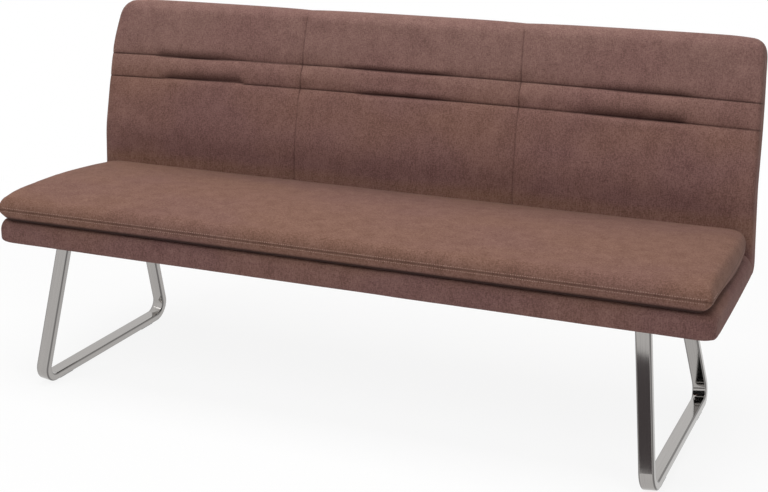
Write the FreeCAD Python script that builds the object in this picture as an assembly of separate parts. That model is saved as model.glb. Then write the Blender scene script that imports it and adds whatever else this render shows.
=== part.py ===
# Upholstered dining bench on two splayed skids of bent steel tube.
# Millimetres, +Z up, +X along the bench, the sitter faces -Y.
# The model is built with y = 0 on the front face of the seat base and z = 0 on the floor,
# and is then moved so that its origin is the middle of its footprint on the floor.
import FreeCAD
import Part
import math
import os

from FreeCAD import Vector

# Seat base
BENCH_LENGTH = 1800.0
SEAT_UNDERSIDE = 370.0
SEAT_DEPTH = 466.0
BASE_HEIGHT = 58.0
BASE_TOP_ROUND = 22.0
BASE_BOTTOM_ROUND = 14.0
BASE_REAR_ROUND = 20.0
BASE_CORNER_ROUND = 20.0
COVER = 1.5
COVER_TURN_IN = 24.0
REAR_TURN_IN = 50.0
DUST_CLOTH = 0.6

# Seat frame of wooden rails
FRAME_EDGE_CLEARANCE = 0.5
RAIL_HEIGHT = 38.0
RAIL_THICKNESS = 28.0
CROSS_RAIL_WIDTH = 96.0
CROSS_RAIL_DROP = 12.0
CORNER_BLOCK_LEG = 62.0
CORNER_BLOCK_CLEARANCE = 1.5

# Elastic webbing
STRAP_WIDTH = 60.0
STRAP_THICKNESS = 2.5
STRAP_END_MARGIN = 4.0
SEAT_STRAP_PITCH = 118.0
BACK_STRAP_PITCH = 84.0

# Seat cushion
CUSHION_END_INSET = 1.5
CUSHION_OVERHANG = 13.0
CUSHION_TUCK_END = 16.0
CUSHION_TUCK_FRONT = 24.0
CUSHION_SEAM_RISE = 30.0
CUSHION_NOSE_HEIGHT = 26.0
CUSHION_SHOULDER_RISE = 67.0
CUSHION_SHOULDER_RUN = 44.0
CUSHION_SHOULDER_ROUND = 60.0
CUSHION_CROWN_RISE = 73.0
CUSHION_CROWN_RUN = 180.0
CUSHION_CROWN_ROUND = 900.0
CUSHION_REAR_RISE = 54.0
CUSHION_LOWER_ROUND = 18.0
CUSHION_UPPER_ROUND = 22.0
CUSHION_REAR_EDGE_ROUND = 12.0
CUSHION_FRONT_CORNER = 25.0
CUSHION_REAR_CORNER = 40.0

# Backrest
BACK_END_INSET = 4.0
BACK_TOP_END_INSET = 25.0
BACK_THICKNESS = 60.0
BACK_LOWER_LEAN = 1.0
BACK_UPPER_LEAN = 12.3
BACK_BEND_RISE = 145.0
BACK_BEND_RADIUS = 280.0
BACK_UPPER_LENGTH = 357.0
BACK_TOP_ROUND = 25.0
BACK_CORNER_ROUND = 45.0
BACK_FRONT_EDGE_ROUND = 12.0
BACK_REAR_BEVEL = 7.0
BACK_MIDDLE_PANEL = 600.0
BACK_FOAM = 18.0
PLEAT_LOWER = 147.0
PLEAT_SPACING = 62.0
PLEAT_DEPTH = 6.0
PLEAT_WIDTH = 12.0

# Back frame
POST_WIDTH = 22.0
POST_TOP_CLEARANCE = 0.5
POST_FOOT_GAP = 6.0
POST_SLOT_CLEARANCE = 0.5
BACK_RAIL_THICKNESS = 10.5
BACK_RAIL_WIDTH = 68.0
LOWER_RAIL_RISE = 6.0
MIDDLE_RAIL_UP = 72.0

# Skids
SKID_INSET = 157.0
SKID_SPLAY = 7.35
TUBE_WIDTH = 35.0
TUBE_DEPTH = 20.0
TUBE_WALL = 2.0
TUBE_BEVEL = 2.4
TUBE_BEND = 45.0
FRONT_LEG_SETBACK = 41.0
FRONT_FOOT_REACH = 37.0
REAR_LEG_SETBACK = 105.0
REAR_FOOT_REACH = 46.0
PLATE_WIDTH = 52.0
PLATE_THICKNESS = 5.0
PLATE_MARGIN = 10.0
PLATE_BEVEL = 6.0
PLATE_CLEARANCE = 2.0

# Floor glides
GLIDE_LENGTH = 56.0
GLIDE_WIDTH = 26.0
GLIDE_LEAST = 2.0
GLIDE_FROM_BEND = 20.0
GLIDE_LUG_LENGTH = 16.0
GLIDE_LUG_WIDTH = 8.0
GLIDE_LUG_GRIP = 3.0
GLIDE_LUG_CLEARANCE = 0.1

# Fasteners
BOLT_RADIUS = 4.0
BOLT_HOLE_CLEARANCE = 0.5
BOLT_HEAD_HEIGHT = 5.3
BOLT_SPARE = 2.0
THREAD_CLEARANCE = 0.1
ACROSS_FLATS = 13.0
NUT_HEIGHT = 6.5
PLATE_BOLT_COUNT = 2
PLATE_BOLT_FROM_LEG = 42.0
POST_BOLT_FROM_TOP = 12.0
POST_BOLT_FROM_END_RAIL = 10.0
HEAD_CLEARANCE = 0.5

# Sizes that follow from the ones above
HALF_LENGTH = BENCH_LENGTH / 2
BASE_TOP = SEAT_UNDERSIDE + BASE_HEIGHT
FRAME_BOTTOM = SEAT_UNDERSIDE + COVER
FRAME_TOP = FRAME_BOTTOM + RAIL_HEIGHT
STRAP_TOP = FRAME_TOP + STRAP_THICKNESS
FRAME_FRONT = BASE_BOTTOM_ROUND + FRAME_EDGE_CLEARANCE
FRAME_HALF = HALF_LENGTH - FRAME_FRONT
RAIL_BACK = FRAME_FRONT + RAIL_THICKNESS
BOARD_TOP = FRAME_TOP - CROSS_RAIL_DROP
CUSHION_HALF = HALF_LENGTH - CUSHION_END_INSET
CUSHION_SEAM = BASE_TOP + CUSHION_SEAM_RISE
STRAP_FRONT = COVER + BACK_FOAM
POST_FRONT = STRAP_FRONT + STRAP_THICKNESS
POST_BACK = BACK_THICKNESS - COVER - BACK_RAIL_THICKNESS
POST_DEPTH = POST_BACK - POST_FRONT
POST_TOP = BACK_UPPER_LENGTH - BACK_TOP_ROUND - POST_TOP_CLEARANCE
OUTER_POST_X = FRAME_HALF - RAIL_THICKNESS - POST_BOLT_FROM_END_RAIL
POST_HALF = OUTER_POST_X + POST_WIDTH / 2
INNER_POST_X = BACK_MIDDLE_PANEL / 2
POST_XS = (-OUTER_POST_X, -INNER_POST_X, INNER_POST_X, OUTER_POST_X)
POST_BOLT_Z = FRAME_TOP - POST_BOLT_FROM_TOP
BOLT_HOLE_RADIUS = BOLT_RADIUS + BOLT_HOLE_CLEARANCE
HEX_RADIUS = ACROSS_FLATS / math.sqrt(3)
PLATE_BOTTOM = FRAME_BOTTOM - PLATE_THICKNESS
SKID_X = HALF_LENGTH - SKID_INSET
LOWER_LEAN = math.radians(BACK_LOWER_LEAN)
UPPER_LEAN = math.radians(BACK_UPPER_LEAN)
SPLAY = math.radians(SKID_SPLAY)
RUNNER_Z = GLIDE_LEAST + TUBE_WIDTH / 2 * math.sin(SPLAY)
UP = Vector(0, 0, 1)
BACKWARDS = Vector(0, 1, 0)
# Turn about X that lays an upright piece down towards the front
FORWARDS = 90
# How far a cutting shape runs past what it cuts
BEYOND = 50.0
# How far a rounding stands off the face that it meets, so that the two cross cleanly
CROSSING_SLACK = 0.4
# Kind of corner that a swept section makes
MITRED = 1


def on_side(x):
    """Place a (y, z) outline in the upright plane at x."""
    return lambda y, z: Vector(x, y, z)


def on_front(y):
    """Place an (x, z) outline in the upright plane at y."""
    return lambda x, z: Vector(x, y, z)


def on_plan(z):
    """Place an (x, y) outline in the level plane at z."""
    return lambda x, y: Vector(x, y, z)


def corner_stops(before, here, after, radius):
    """Start, middle and end of the arc that rounds a corner."""
    into = before - here
    out = after - here
    into.normalize()
    out.normalize()
    half = into.getAngle(out) / 2
    inwards = into + out
    inwards.normalize()
    reach = radius / math.tan(half)
    return here + into * reach, here + inwards * (radius / math.sin(half) - radius), here + out * reach


def rounded_wire(corners, place, closed=True):
    """Straight runs joined by tangent arcs; each corner is (u, v, radius)."""
    points = [Vector(u, v, 0) for u, v, radius in corners]
    stops = []
    for index, (u, v, radius) in enumerate(corners):
        at_end = not closed and index in (0, len(corners) - 1)
        if radius <= 0 or at_end:
            stops.append((points[index], None, points[index]))
        else:
            following = points[(index + 1) % len(points)]
            stops.append(corner_stops(points[index - 1], points[index], following, radius))
    edges = []
    for index, (start, middle, end) in enumerate(stops):
        if middle is not None:
            edges.append(Part.Arc(*[place(p.x, p.y) for p in (start, middle, end)]).toShape())
        if closed or index < len(stops) - 1:
            ahead = stops[(index + 1) % len(stops)][0]
            edges.append(Part.makeLine(place(end.x, end.y), place(ahead.x, ahead.y)))
    return Part.Wire(edges)


def drawn_in(corners, inset):
    """The same outline moved in all round: outer corners tighten and hollow ones open."""
    points = [Vector(u, v, 0) for u, v, radius in corners]
    turning = sum(a.cross(b).z for a, b in zip(points, points[1:] + points[:1]))
    inwards = math.copysign(1, turning)
    moved = []
    for index, (u, v, radius) in enumerate(corners):
        into = points[index] - points[index - 1]
        out = points[(index + 1) % len(points)] - points[index]
        into.normalize()
        out.normalize()
        first = Vector(-into.y, into.x, 0) * inwards
        second = Vector(-out.y, out.x, 0) * inwards
        shift = (first + second) * (inset / (1 + first.dot(second)))
        outer = into.cross(out).z * inwards > 0
        new_radius = radius - inset if outer else radius + inset
        moved.append((u + shift.x, v + shift.y, radius and max(new_radius, 0)))
    return moved


def outline(corners, place, inset=0):
    """Flat face inside a rounded outline, drawn in all round by an inset."""
    return Part.Face(rounded_wire(drawn_in(corners, inset), place))


def box(x0, x1, y0, y1, z0, z1):
    """Block between two opposite corners."""
    return Part.makeBox(x1 - x0, y1 - y0, z1 - z0, Vector(x0, y0, z0))


def along_bench(corners, half, inset=0):
    """Run a (y, z) outline along X, as far to the left as to the right."""
    return outline(corners, on_side(-half), inset).extrude(Vector(2 * half, 0, 0))


def front_to_back(corners, y0, y1, inset=0):
    """Run an (x, z) outline along Y."""
    return outline(corners, on_front(y0), inset).extrude(Vector(0, y1 - y0, 0))


def upright(corners, z0, z1, inset=0):
    """Run an (x, y) outline along Z."""
    return outline(corners, on_plan(z0), inset).extrude(Vector(0, 0, z1 - z0))


def bar(radius, start, along, length):
    """Round bar from a start point."""
    return Part.makeCylinder(radius, length, start, along)


def mirrored(shape):
    """The same shape at the other end of the bench."""
    return shape.mirror(Vector(0, 0, 0), Vector(1, 0, 0))


def group(shapes):
    """Separate solids kept in one node."""
    return Part.makeCompound(list(shapes))


def set_at(shape, place, turn=0):
    """Copy of a shape, turned about X by degrees and moved to a place."""
    copy = shape.copy()
    copy.rotate(Vector(0, 0, 0), Vector(1, 0, 0), turn)
    copy.translate(place)
    return copy


# Fasteners, standing upright with the face they bear on at z = 0
def hexagon():
    """Corners of a bolt head or nut."""
    turns = [math.radians(60 * side) for side in range(6)]
    return [(HEX_RADIUS * math.cos(turn), HEX_RADIUS * math.sin(turn), 0) for turn in turns]


def hex_bolt(grip):
    """Bolt that clamps a thickness and just passes its nut."""
    shank = bar(BOLT_RADIUS, Vector(0, 0, 0), UP, grip + NUT_HEIGHT + BOLT_SPARE)
    return shank.fuse(upright(hexagon(), -BOLT_HEAD_HEIGHT, 0))


def hex_nut():
    """Nut whose thread clears the bolt."""
    thread = bar(BOLT_RADIUS + THREAD_CLEARANCE, Vector(0, 0, 0), UP, NUT_HEIGHT)
    return upright(hexagon(), 0, NUT_HEIGHT).cut(thread)


# Backrest: seen from the side, a lower and an upper straight run joined by a bend.
# A depth is measured behind the front face, and a length up the upper run from the bend.
def back_bend(depth):
    """Point where the two straight runs would cross."""
    lean = (LOWER_LEAN + UPPER_LEAN) / 2
    away = depth / math.cos((UPPER_LEAN - LOWER_LEAN) / 2)
    front_y = SEAT_DEPTH + BACK_BEND_RISE * math.tan(LOWER_LEAN)
    return front_y + math.cos(lean) * away, BASE_TOP + BACK_BEND_RISE - math.sin(lean) * away


def back_low(depth, height):
    """Point on the lower run at a height above the floor."""
    y, z = back_bend(depth)
    return y - (z - height) * math.tan(LOWER_LEAN), height


def back_high(depth, up):
    """Point on the upper run."""
    y, z = back_bend(0)
    return (y + math.sin(UPPER_LEAN) * up + math.cos(UPPER_LEAN) * depth,
            z + math.cos(UPPER_LEAN) * up - math.sin(UPPER_LEAN) * depth)


def base_rear():
    """Rear face of the seat base at its underside, in line with the rear of the backrest."""
    return back_low(BACK_THICKNESS, SEAT_UNDERSIDE)[0]


def behind_back():
    """A place well behind the backrest."""
    return back_high(BACK_THICKNESS, BACK_UPPER_LENGTH)[0] + BEYOND


def back_band(front, back, bottom, top, top_round=0):
    """Side outline between two depths, from a height to a length up the upper run."""
    return [(*back_low(front, bottom), 0),
            (*back_bend(front), BACK_BEND_RADIUS - front),
            (*back_high(front, top), top_round),
            (*back_high(back, top), top_round),
            (*back_bend(back), BACK_BEND_RADIUS - back),
            (*back_low(back, bottom), 0)]


def back_crest():
    """Height of the top of the backrest."""
    return back_high(BACK_TOP_ROUND, BACK_UPPER_LENGTH - BACK_TOP_ROUND)[1] + BACK_TOP_ROUND


def back_narrowing():
    """How much either end draws in for each unit of height."""
    return (BACK_TOP_END_INSET - BACK_END_INSET) / (back_crest() - BASE_TOP)


def back_half(height):
    """Half of the backrest's length at a height."""
    return HALF_LENGTH - BACK_END_INSET - back_narrowing() * (height - BASE_TOP)


def end_trim(inset):
    """All that lies outside the right end, whose front edge is round and whose rear edge is bevelled."""
    middle = BACK_THICKNESS / 2
    front = middle + CROSSING_SLACK
    far = middle + BEYOND
    cut = BACK_REAR_BEVEL
    section = outline([(-BEYOND, -far, 0), (BEYOND, -far, 0), (BEYOND, far, 0), (-cut, far, 0),
                       (-cut, middle, 0), (0, middle - cut, 0), (0, -front, BACK_FRONT_EDGE_ROUND),
                       (-BEYOND, -front, 0)], on_plan(0), -inset).OuterWire
    start = back_low(middle, BASE_TOP - 2 * BEYOND)
    stops = [start, back_bend(middle), back_high(middle, BACK_UPPER_LENGTH + BEYOND)]
    section.rotate(Vector(0, 0, 0), Vector(1, 0, 0), -BACK_LOWER_LEAN)
    section.translate(Vector(0, *start))
    path = Part.makePolygon([Vector(0, *stop) for stop in stops])
    trim = path.makePipeShell([section], True, False, MITRED)
    trim.rotate(Vector(0, 0, BASE_TOP), BACKWARDS, -math.degrees(math.atan(back_narrowing())))
    trim.translate(Vector(HALF_LENGTH - BACK_END_INSET, 0, 0))
    return trim


def pleat_creases(inset):
    """Creases that the two sewn pleats press into the front of the backrest."""
    creases = []
    for up in (PLEAT_LOWER, PLEAT_LOWER + PLEAT_SPACING):
        corners = [(*back_high(-PLEAT_DEPTH, up - PLEAT_WIDTH), 0), (*back_high(PLEAT_DEPTH, up), 0),
                   (*back_high(-PLEAT_DEPTH, up + PLEAT_WIDTH), 0)]
        creases.append(along_bench(corners, HALF_LENGTH, -inset))
    return creases


def back_form(inset, bottom):
    """Whole backrest, drawn in by an inset."""
    side_view = along_bench(back_band(0, BACK_THICKNESS, bottom, BACK_UPPER_LENGTH, BACK_TOP_ROUND),
                            HALF_LENGTH, inset)
    crest = back_crest()
    below = BASE_TOP - 2 * BEYOND
    low = back_half(below) + CROSSING_SLACK
    high = back_half(crest) + CROSSING_SLACK
    front_view = front_to_back([(-low, below, 0), (low, below, 0),
                                (high, crest, BACK_CORNER_ROUND), (-high, crest, BACK_CORNER_ROUND)],
                               0, behind_back(), inset)
    trim = end_trim(inset)
    return side_view.common(front_view).cut([trim, mirrored(trim)] + pleat_creases(inset))


def back_foam():
    """Foam over the front, the top and the ends of the back frame."""
    behind = BACK_THICKNESS + BEYOND
    room = along_bench(back_band(STRAP_FRONT, behind, BASE_TOP - BEYOND, POST_TOP), POST_HALF)
    return back_form(COVER, BASE_TOP - COVER).cut(room)


def back_covers():
    """Rear cover and the three front panels, sewn together along their edges."""
    shell = back_form(0, BASE_TOP).cut(back_form(COVER, BASE_TOP - BEYOND))
    rear_zone = along_bench(back_band(BACK_THICKNESS - BACK_REAR_BEVEL, BACK_THICKNESS + BEYOND,
                                      BASE_TOP - BEYOND, BACK_UPPER_LENGTH + BEYOND), HALF_LENGTH)
    front = shell.cut(rear_zone)
    seam = BACK_MIDDLE_PANEL / 2
    crest = BASE_TOP + BACK_BEND_RISE + BACK_UPPER_LENGTH

    def panel(x0, x1):
        return front.common(box(x0, x1, 0, behind_back(), SEAT_UNDERSIDE, crest))

    return {"back_cover_left": panel(-HALF_LENGTH, -seam),
            "back_cover_middle": panel(-seam, seam),
            "back_cover_right": panel(seam, HALF_LENGTH),
            "back_cover_rear": shell.common(rear_zone)}


# Back frame
def post_face():
    """Front face of the post feet, which stand against the rear rail."""
    return back_low(POST_FRONT, BASE_TOP)[0]


def back_post(x):
    """Bent post whose foot reaches down behind the rear rail and is drilled for its bolt."""
    face = post_face()
    band = back_band(POST_FRONT, POST_BACK, BASE_TOP, POST_TOP)
    foot = FRAME_BOTTOM + POST_FOOT_GAP
    corners = [(face, foot, 0)] + band[:-1] + [(face + POST_DEPTH, BASE_TOP, 0), (face + POST_DEPTH, foot, 0)]
    post = outline(corners, on_side(x - POST_WIDTH / 2)).extrude(Vector(POST_WIDTH, 0, 0))
    return post.cut(bar(BOLT_HOLE_RADIUS, Vector(x, face, POST_BOLT_Z), BACKWARDS, POST_DEPTH))


def back_lower_rail():
    """Rail across the feet of the backrest, behind the posts."""
    low = BASE_TOP + LOWER_RAIL_RISE
    high = low + BACK_RAIL_WIDTH
    back = POST_BACK + BACK_RAIL_THICKNESS
    return along_bench([(*back_low(depth, z), 0) for depth, z in
                        ((POST_BACK, low), (POST_BACK, high), (back, high), (back, low))], POST_HALF)


def upper_strip(depth, thickness, up, width, half):
    """Flat strip lying along the upper run."""
    return along_bench([(*back_high(depth + off, up + rise), 0) for off, rise in
                        ((0, 0), (0, width), (thickness, width), (thickness, 0))], half)


def back_webbing():
    """Straps across the front of the posts, on the straight runs."""
    half = POST_HALF - STRAP_END_MARGIN
    low = BASE_TOP + LOWER_RAIL_RISE
    high = low + STRAP_WIDTH
    outside = ((STRAP_FRONT, low), (STRAP_FRONT, high), (POST_FRONT, high), (POST_FRONT, low))
    straps = [along_bench([(*back_low(depth, z), 0) for depth, z in outside], half)]
    steps = int((POST_TOP - MIDDLE_RAIL_UP - STRAP_WIDTH) / BACK_STRAP_PITCH)
    for step in range(steps + 1):
        up = MIDDLE_RAIL_UP + step * BACK_STRAP_PITCH
        straps.append(upper_strip(STRAP_FRONT, STRAP_THICKNESS, up, STRAP_WIDTH, half))
    return group(straps)


def post_fasteners():
    """Bolts and nuts that hold the post feet to the rear rail, heads to the rear."""
    bolt = hex_bolt(POST_DEPTH + RAIL_THICKNESS)
    heads = post_face() + POST_DEPTH
    return {"post_bolts": group(set_at(bolt, Vector(x, heads, POST_BOLT_Z), FORWARDS) for x in POST_XS),
            "post_nuts": group(set_at(hex_nut(), Vector(x, rear_rail_front(), POST_BOLT_Z), FORWARDS)
                               for x in POST_XS)}


# Seat base
def base_form(inset):
    """Seat base with rounded edges, drawn in by an inset."""
    rear_top = back_low(BACK_THICKNESS, BASE_TOP)[0]
    side_view = along_bench([(0, SEAT_UNDERSIDE, BASE_BOTTOM_ROUND), (0, BASE_TOP, BASE_TOP_ROUND),
                             (rear_top, BASE_TOP, 0), (base_rear(), SEAT_UNDERSIDE, BASE_REAR_ROUND)],
                            HALF_LENGTH + BEYOND, inset)
    half = HALF_LENGTH
    front_view = front_to_back([(-half, SEAT_UNDERSIDE, BASE_BOTTOM_ROUND),
                                (half, SEAT_UNDERSIDE, BASE_BOTTOM_ROUND),
                                (half, BASE_TOP, BASE_TOP_ROUND), (-half, BASE_TOP, BASE_TOP_ROUND)],
                               -BEYOND, rear_top + BEYOND, inset)
    plan_view = upright([(-half, 0, BASE_CORNER_ROUND), (half, 0, BASE_CORNER_ROUND),
                         (half, rear_top + BEYOND, 0), (-half, rear_top + BEYOND, 0)],
                        SEAT_UNDERSIDE, BASE_TOP, inset)
    return side_view.common(front_view).common(plan_view)


def post_slots(bottom):
    """Room for the post feet, open at the top of the base."""
    face = post_face()
    gap = POST_SLOT_CLEARANCE
    reach = POST_WIDTH / 2 + gap
    return [box(x - reach, x + reach, face - gap, face + POST_DEPTH + gap, bottom, BASE_TOP + BEYOND)
            for x in POST_XS]


def head_recesses():
    """Room for the bolt heads behind the post feet."""
    rear = post_face() + POST_DEPTH
    reach = HEX_RADIUS + HEAD_CLEARANCE
    return [box(x - reach, x + reach, rear, rear + BOLT_HEAD_HEIGHT + HEAD_CLEARANCE,
                POST_BOLT_Z - reach, POST_BOLT_Z + reach) for x in POST_XS]


def seat_base_foam():
    """Foam lid and skirt round the seat frame."""
    pocket = box(-FRAME_HALF, FRAME_HALF, FRAME_FRONT, post_face(), SEAT_UNDERSIDE - BEYOND, STRAP_TOP)
    return base_form(COVER).cut([pocket] + post_slots(FRAME_BOTTOM + POST_FOOT_GAP) + head_recesses())


def seat_base_cover():
    """Base cover, turned in under the rails and slotted for the posts."""
    half = HALF_LENGTH - COVER_TURN_IN
    opening = box(-half, half, COVER_TURN_IN, base_rear() - REAR_TURN_IN,
                  SEAT_UNDERSIDE - BEYOND, FRAME_BOTTOM)
    return base_form(0).cut([base_form(COVER), opening] + post_slots(FRAME_TOP))


def seat_dust_cloth():
    """Thin cloth under the frame, inside the turned-in cover and cut out round the skid plates."""
    half = HALF_LENGTH - COVER_TURN_IN - DUST_CLOTH
    cloth = box(-half, half, COVER_TURN_IN + DUST_CLOTH, base_rear() - REAR_TURN_IN - DUST_CLOTH,
                FRAME_BOTTOM - DUST_CLOTH, FRAME_BOTTOM)
    reach = PLATE_WIDTH / 2 + PLATE_CLEARANCE
    front, rear = plate_ends()
    window = box(SKID_X - reach, SKID_X + reach, front - PLATE_CLEARANCE, rear + PLATE_CLEARANCE,
                 SEAT_UNDERSIDE - BEYOND, FRAME_TOP)
    return cloth.cut([window, mirrored(window)])


# Seat frame
def rear_rail_front():
    """Front face of the rear rail."""
    return post_face() - RAIL_THICKNESS


def seat_front_rail():
    """Rail along the front of the seat."""
    return box(-FRAME_HALF, FRAME_HALF, FRAME_FRONT, RAIL_BACK, FRAME_BOTTOM, FRAME_TOP)


def seat_rear_rail():
    """Rail along the rear of the seat, drilled for the post bolts."""
    front = rear_rail_front()
    rail = box(-FRAME_HALF, FRAME_HALF, front, post_face(), FRAME_BOTTOM, FRAME_TOP)
    return rail.cut([bar(BOLT_HOLE_RADIUS, Vector(x, front, POST_BOLT_Z), BACKWARDS, RAIL_THICKNESS)
                     for x in POST_XS])


def seat_end_rail():
    """Right end rail, between the front and rear rails."""
    return box(FRAME_HALF - RAIL_THICKNESS, FRAME_HALF, RAIL_BACK, rear_rail_front(), FRAME_BOTTOM, FRAME_TOP)


def cross_board(x):
    """Flat board between the front and rear rails."""
    half = CROSS_RAIL_WIDTH / 2
    return box(x - half, x + half, RAIL_BACK, rear_rail_front(), FRAME_BOTTOM, BOARD_TOP)


def seat_cross_rail():
    """Right cross board, drilled for the bolts of the skid."""
    return cross_board(SKID_X).cut([bar(BOLT_HOLE_RADIUS, Vector(SKID_X, y, FRAME_BOTTOM), UP, RAIL_HEIGHT)
                                    for y in plate_bolts()])


def seat_corner_blocks():
    """Three-cornered blocks glued into the corners of the seat frame, below the post bolts."""
    x = FRAME_HALF - RAIL_THICKNESS
    leg = CORNER_BLOCK_LEG
    top = POST_BOLT_Z - HEX_RADIUS - CORNER_BLOCK_CLEARANCE
    blocks = []
    for y, inward in ((RAIL_BACK, leg), (rear_rail_front(), -leg)):
        blocks.append(upright([(x, y, 0), (x - leg, y, 0), (x, y + inward, 0)], FRAME_BOTTOM, top))
    return group(blocks + [mirrored(block) for block in blocks])


def seat_webbing():
    """Straps from the front rail to the rear rail."""
    steps = int((2 * FRAME_HALF - STRAP_WIDTH) / SEAT_STRAP_PITCH)
    straps = []
    for step in range(steps + 1):
        left = (step - steps / 2) * SEAT_STRAP_PITCH - STRAP_WIDTH / 2
        straps.append(box(left, left + STRAP_WIDTH, FRAME_FRONT + STRAP_END_MARGIN,
                          post_face() - STRAP_END_MARGIN, FRAME_TOP, STRAP_TOP))
    return group(straps)


# Seat cushion
def cushion_nose(reach, tuck, towards):
    """Outline of a cushion edge from its foot over its upright nose and its shoulder to its crown."""
    low = CUSHION_SEAM - CUSHION_NOSE_HEIGHT / 2
    high = CUSHION_SEAM + CUSHION_NOSE_HEIGHT / 2
    shoulder = reach + towards * CUSHION_SHOULDER_RUN
    crown = reach + towards * CUSHION_CROWN_RUN
    return [(reach + towards * tuck, BASE_TOP, 0), (reach, low, CUSHION_LOWER_ROUND),
            (reach, high, CUSHION_UPPER_ROUND),
            (shoulder, BASE_TOP + CUSHION_SHOULDER_RISE, CUSHION_SHOULDER_ROUND),
            (crown, BASE_TOP + CUSHION_CROWN_RISE, CUSHION_CROWN_ROUND)]


def cushion_form(inset):
    """Crowned cushion that tucks in below its seam, drawn in by an inset."""
    half = CUSHION_HALF
    front = -CUSHION_OVERHANG
    side_view = along_bench(cushion_nose(front, CUSHION_TUCK_FRONT, 1) +
                            [(SEAT_DEPTH, BASE_TOP + CUSHION_REAR_RISE, CUSHION_REAR_EDGE_ROUND),
                             (SEAT_DEPTH, BASE_TOP, 0)], half + BEYOND, inset)
    right = cushion_nose(half, CUSHION_TUCK_END, -1)
    left = cushion_nose(-half, CUSHION_TUCK_END, 1)
    front_view = front_to_back(right + left[::-1], front - BEYOND, SEAT_DEPTH + BEYOND, inset)
    plan_view = upright([(-half, front, CUSHION_FRONT_CORNER), (half, front, CUSHION_FRONT_CORNER),
                         (half, SEAT_DEPTH, CUSHION_REAR_CORNER), (-half, SEAT_DEPTH, CUSHION_REAR_CORNER)],
                        BASE_TOP, BASE_TOP + CUSHION_CROWN_RISE, inset)
    return side_view.common(front_view).common(plan_view)


def cushion_covers():
    """Upper cover and lower border, sewn together at the seam."""
    shell = cushion_form(0).cut(cushion_form(COVER))
    half = CUSHION_HALF + BEYOND
    above = box(-half, half, -CUSHION_OVERHANG - BEYOND, SEAT_DEPTH + BEYOND, CUSHION_SEAM,
                BASE_TOP + CUSHION_CROWN_RISE + BEYOND)
    return {"seat_cushion_top_cover": shell.common(above), "seat_cushion_border": shell.cut(above)}


# Skids: each is drawn upright in its own plane, with w = 0 under its runner, then leant outwards.
def leg_tops():
    """Outer faces of the front and the rear leg at the underside of the seat."""
    return FRONT_LEG_SETBACK, base_rear() - REAR_LEG_SETBACK


def leg_feet():
    """Outer faces of the front and the rear leg where they would meet the runner unbent."""
    return -FRONT_FOOT_REACH, base_rear() + REAR_FOOT_REACH


def skid_corners(distance):
    """Corners of the skid's side view, a distance in from its outer faces."""
    height = (SEAT_UNDERSIDE - RUNNER_Z) / math.cos(SPLAY)
    top = height + BEYOND
    front_slope, rear_slope = ((above - below) / height for above, below in zip(leg_tops(), leg_feet()))
    front_foot, rear_foot = leg_feet()
    front_y = front_foot + distance * math.hypot(1, front_slope)
    rear_y = rear_foot - distance * math.hypot(1, rear_slope)
    return [(front_y + front_slope * top, top), (front_y + front_slope * distance, distance),
            (rear_y + rear_slope * distance, distance), (rear_y + rear_slope * top, top)]


def leant(shape):
    """Lean a shape in the skid's own plane outwards and bring it to the right end."""
    shape.rotate(Vector(0, 0, 0), BACKWARDS, -SKID_SPLAY)
    shape.translate(Vector(SKID_X + (SEAT_UNDERSIDE - RUNNER_Z) * math.tan(SPLAY), 0, RUNNER_Z))
    return shape


def tube_outside():
    """Section of the tube with its four edges taken off."""
    u = TUBE_WIDTH / 2
    v = TUBE_DEPTH / 2
    cut = TUBE_BEVEL
    return [(-u, cut - v, 0), (cut - u, -v, 0), (u - cut, -v, 0), (u, cut - v, 0),
            (u, v - cut, 0), (u - cut, v, 0), (cut - u, v, 0), (-u, v - cut, 0)]


def tube_bore():
    """Section of the hollow inside the tube."""
    u = TUBE_WIDTH / 2 - TUBE_WALL
    v = TUBE_DEPTH / 2 - TUBE_WALL
    return [(-u, -v, 0), (u, -v, 0), (u, v, 0), (-u, v, 0)]


def tube_sweep(section):
    """Run a tube section down the front leg, along the runner and up the rear leg."""
    corners = skid_corners(TUBE_DEPTH / 2)
    bend = TUBE_BEND - TUBE_DEPTH / 2
    path = rounded_wire([(y, w, bend) for y, w in corners], on_side(0), closed=False)
    (start_y, start_w), (next_y, next_w) = corners[0], corners[1]
    run = math.hypot(next_y - start_y, next_w - start_w)
    across_y = (start_w - next_w) / run
    across_w = (next_y - start_y) / run
    face = outline(section, lambda x, d: Vector(x, start_y + across_y * d, start_w + across_w * d))
    return path.makePipeShell([face.OuterWire], True, False)


def glide_spans():
    """Start of each glide along the runner, clear of the bends."""
    top_front, front, rear, top_rear = skid_corners(0)
    front_half = math.atan2(top_front[1], top_front[0] - front[0]) / 2
    rear_half = math.atan2(top_rear[1], rear[0] - top_rear[0]) / 2
    return (front[0] + TUBE_BEND / math.tan(front_half) + GLIDE_FROM_BEND,
            rear[0] - TUBE_BEND / math.tan(rear_half) - GLIDE_FROM_BEND - GLIDE_LENGTH)


def skid_tube():
    """Right skid: front leg, runner and rear leg bent from one tube, cut level at the plate."""
    tube = tube_sweep(tube_outside()).cut(tube_sweep(tube_bore()))
    slots = [glide_lug(y, GLIDE_LUG_CLEARANCE) for y in glide_spans()]
    front, rear = leg_feet()
    room = box(0, HALF_LENGTH, front - BEYOND, rear + BEYOND, 0, PLATE_BOTTOM)
    return leant(tube.cut(slots)).common(room)


def glide_lug(start, clearance=0):
    """Lug in the middle of a glide that plugs into a slot of the tube."""
    middle = start + GLIDE_LENGTH / 2
    half_x = GLIDE_LUG_WIDTH / 2 + clearance
    half_y = GLIDE_LUG_LENGTH / 2 + clearance
    return box(-half_x, half_x, middle - half_y, middle + half_y, -GLIDE_LEAST, TUBE_WALL + GLIDE_LUG_GRIP)


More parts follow.
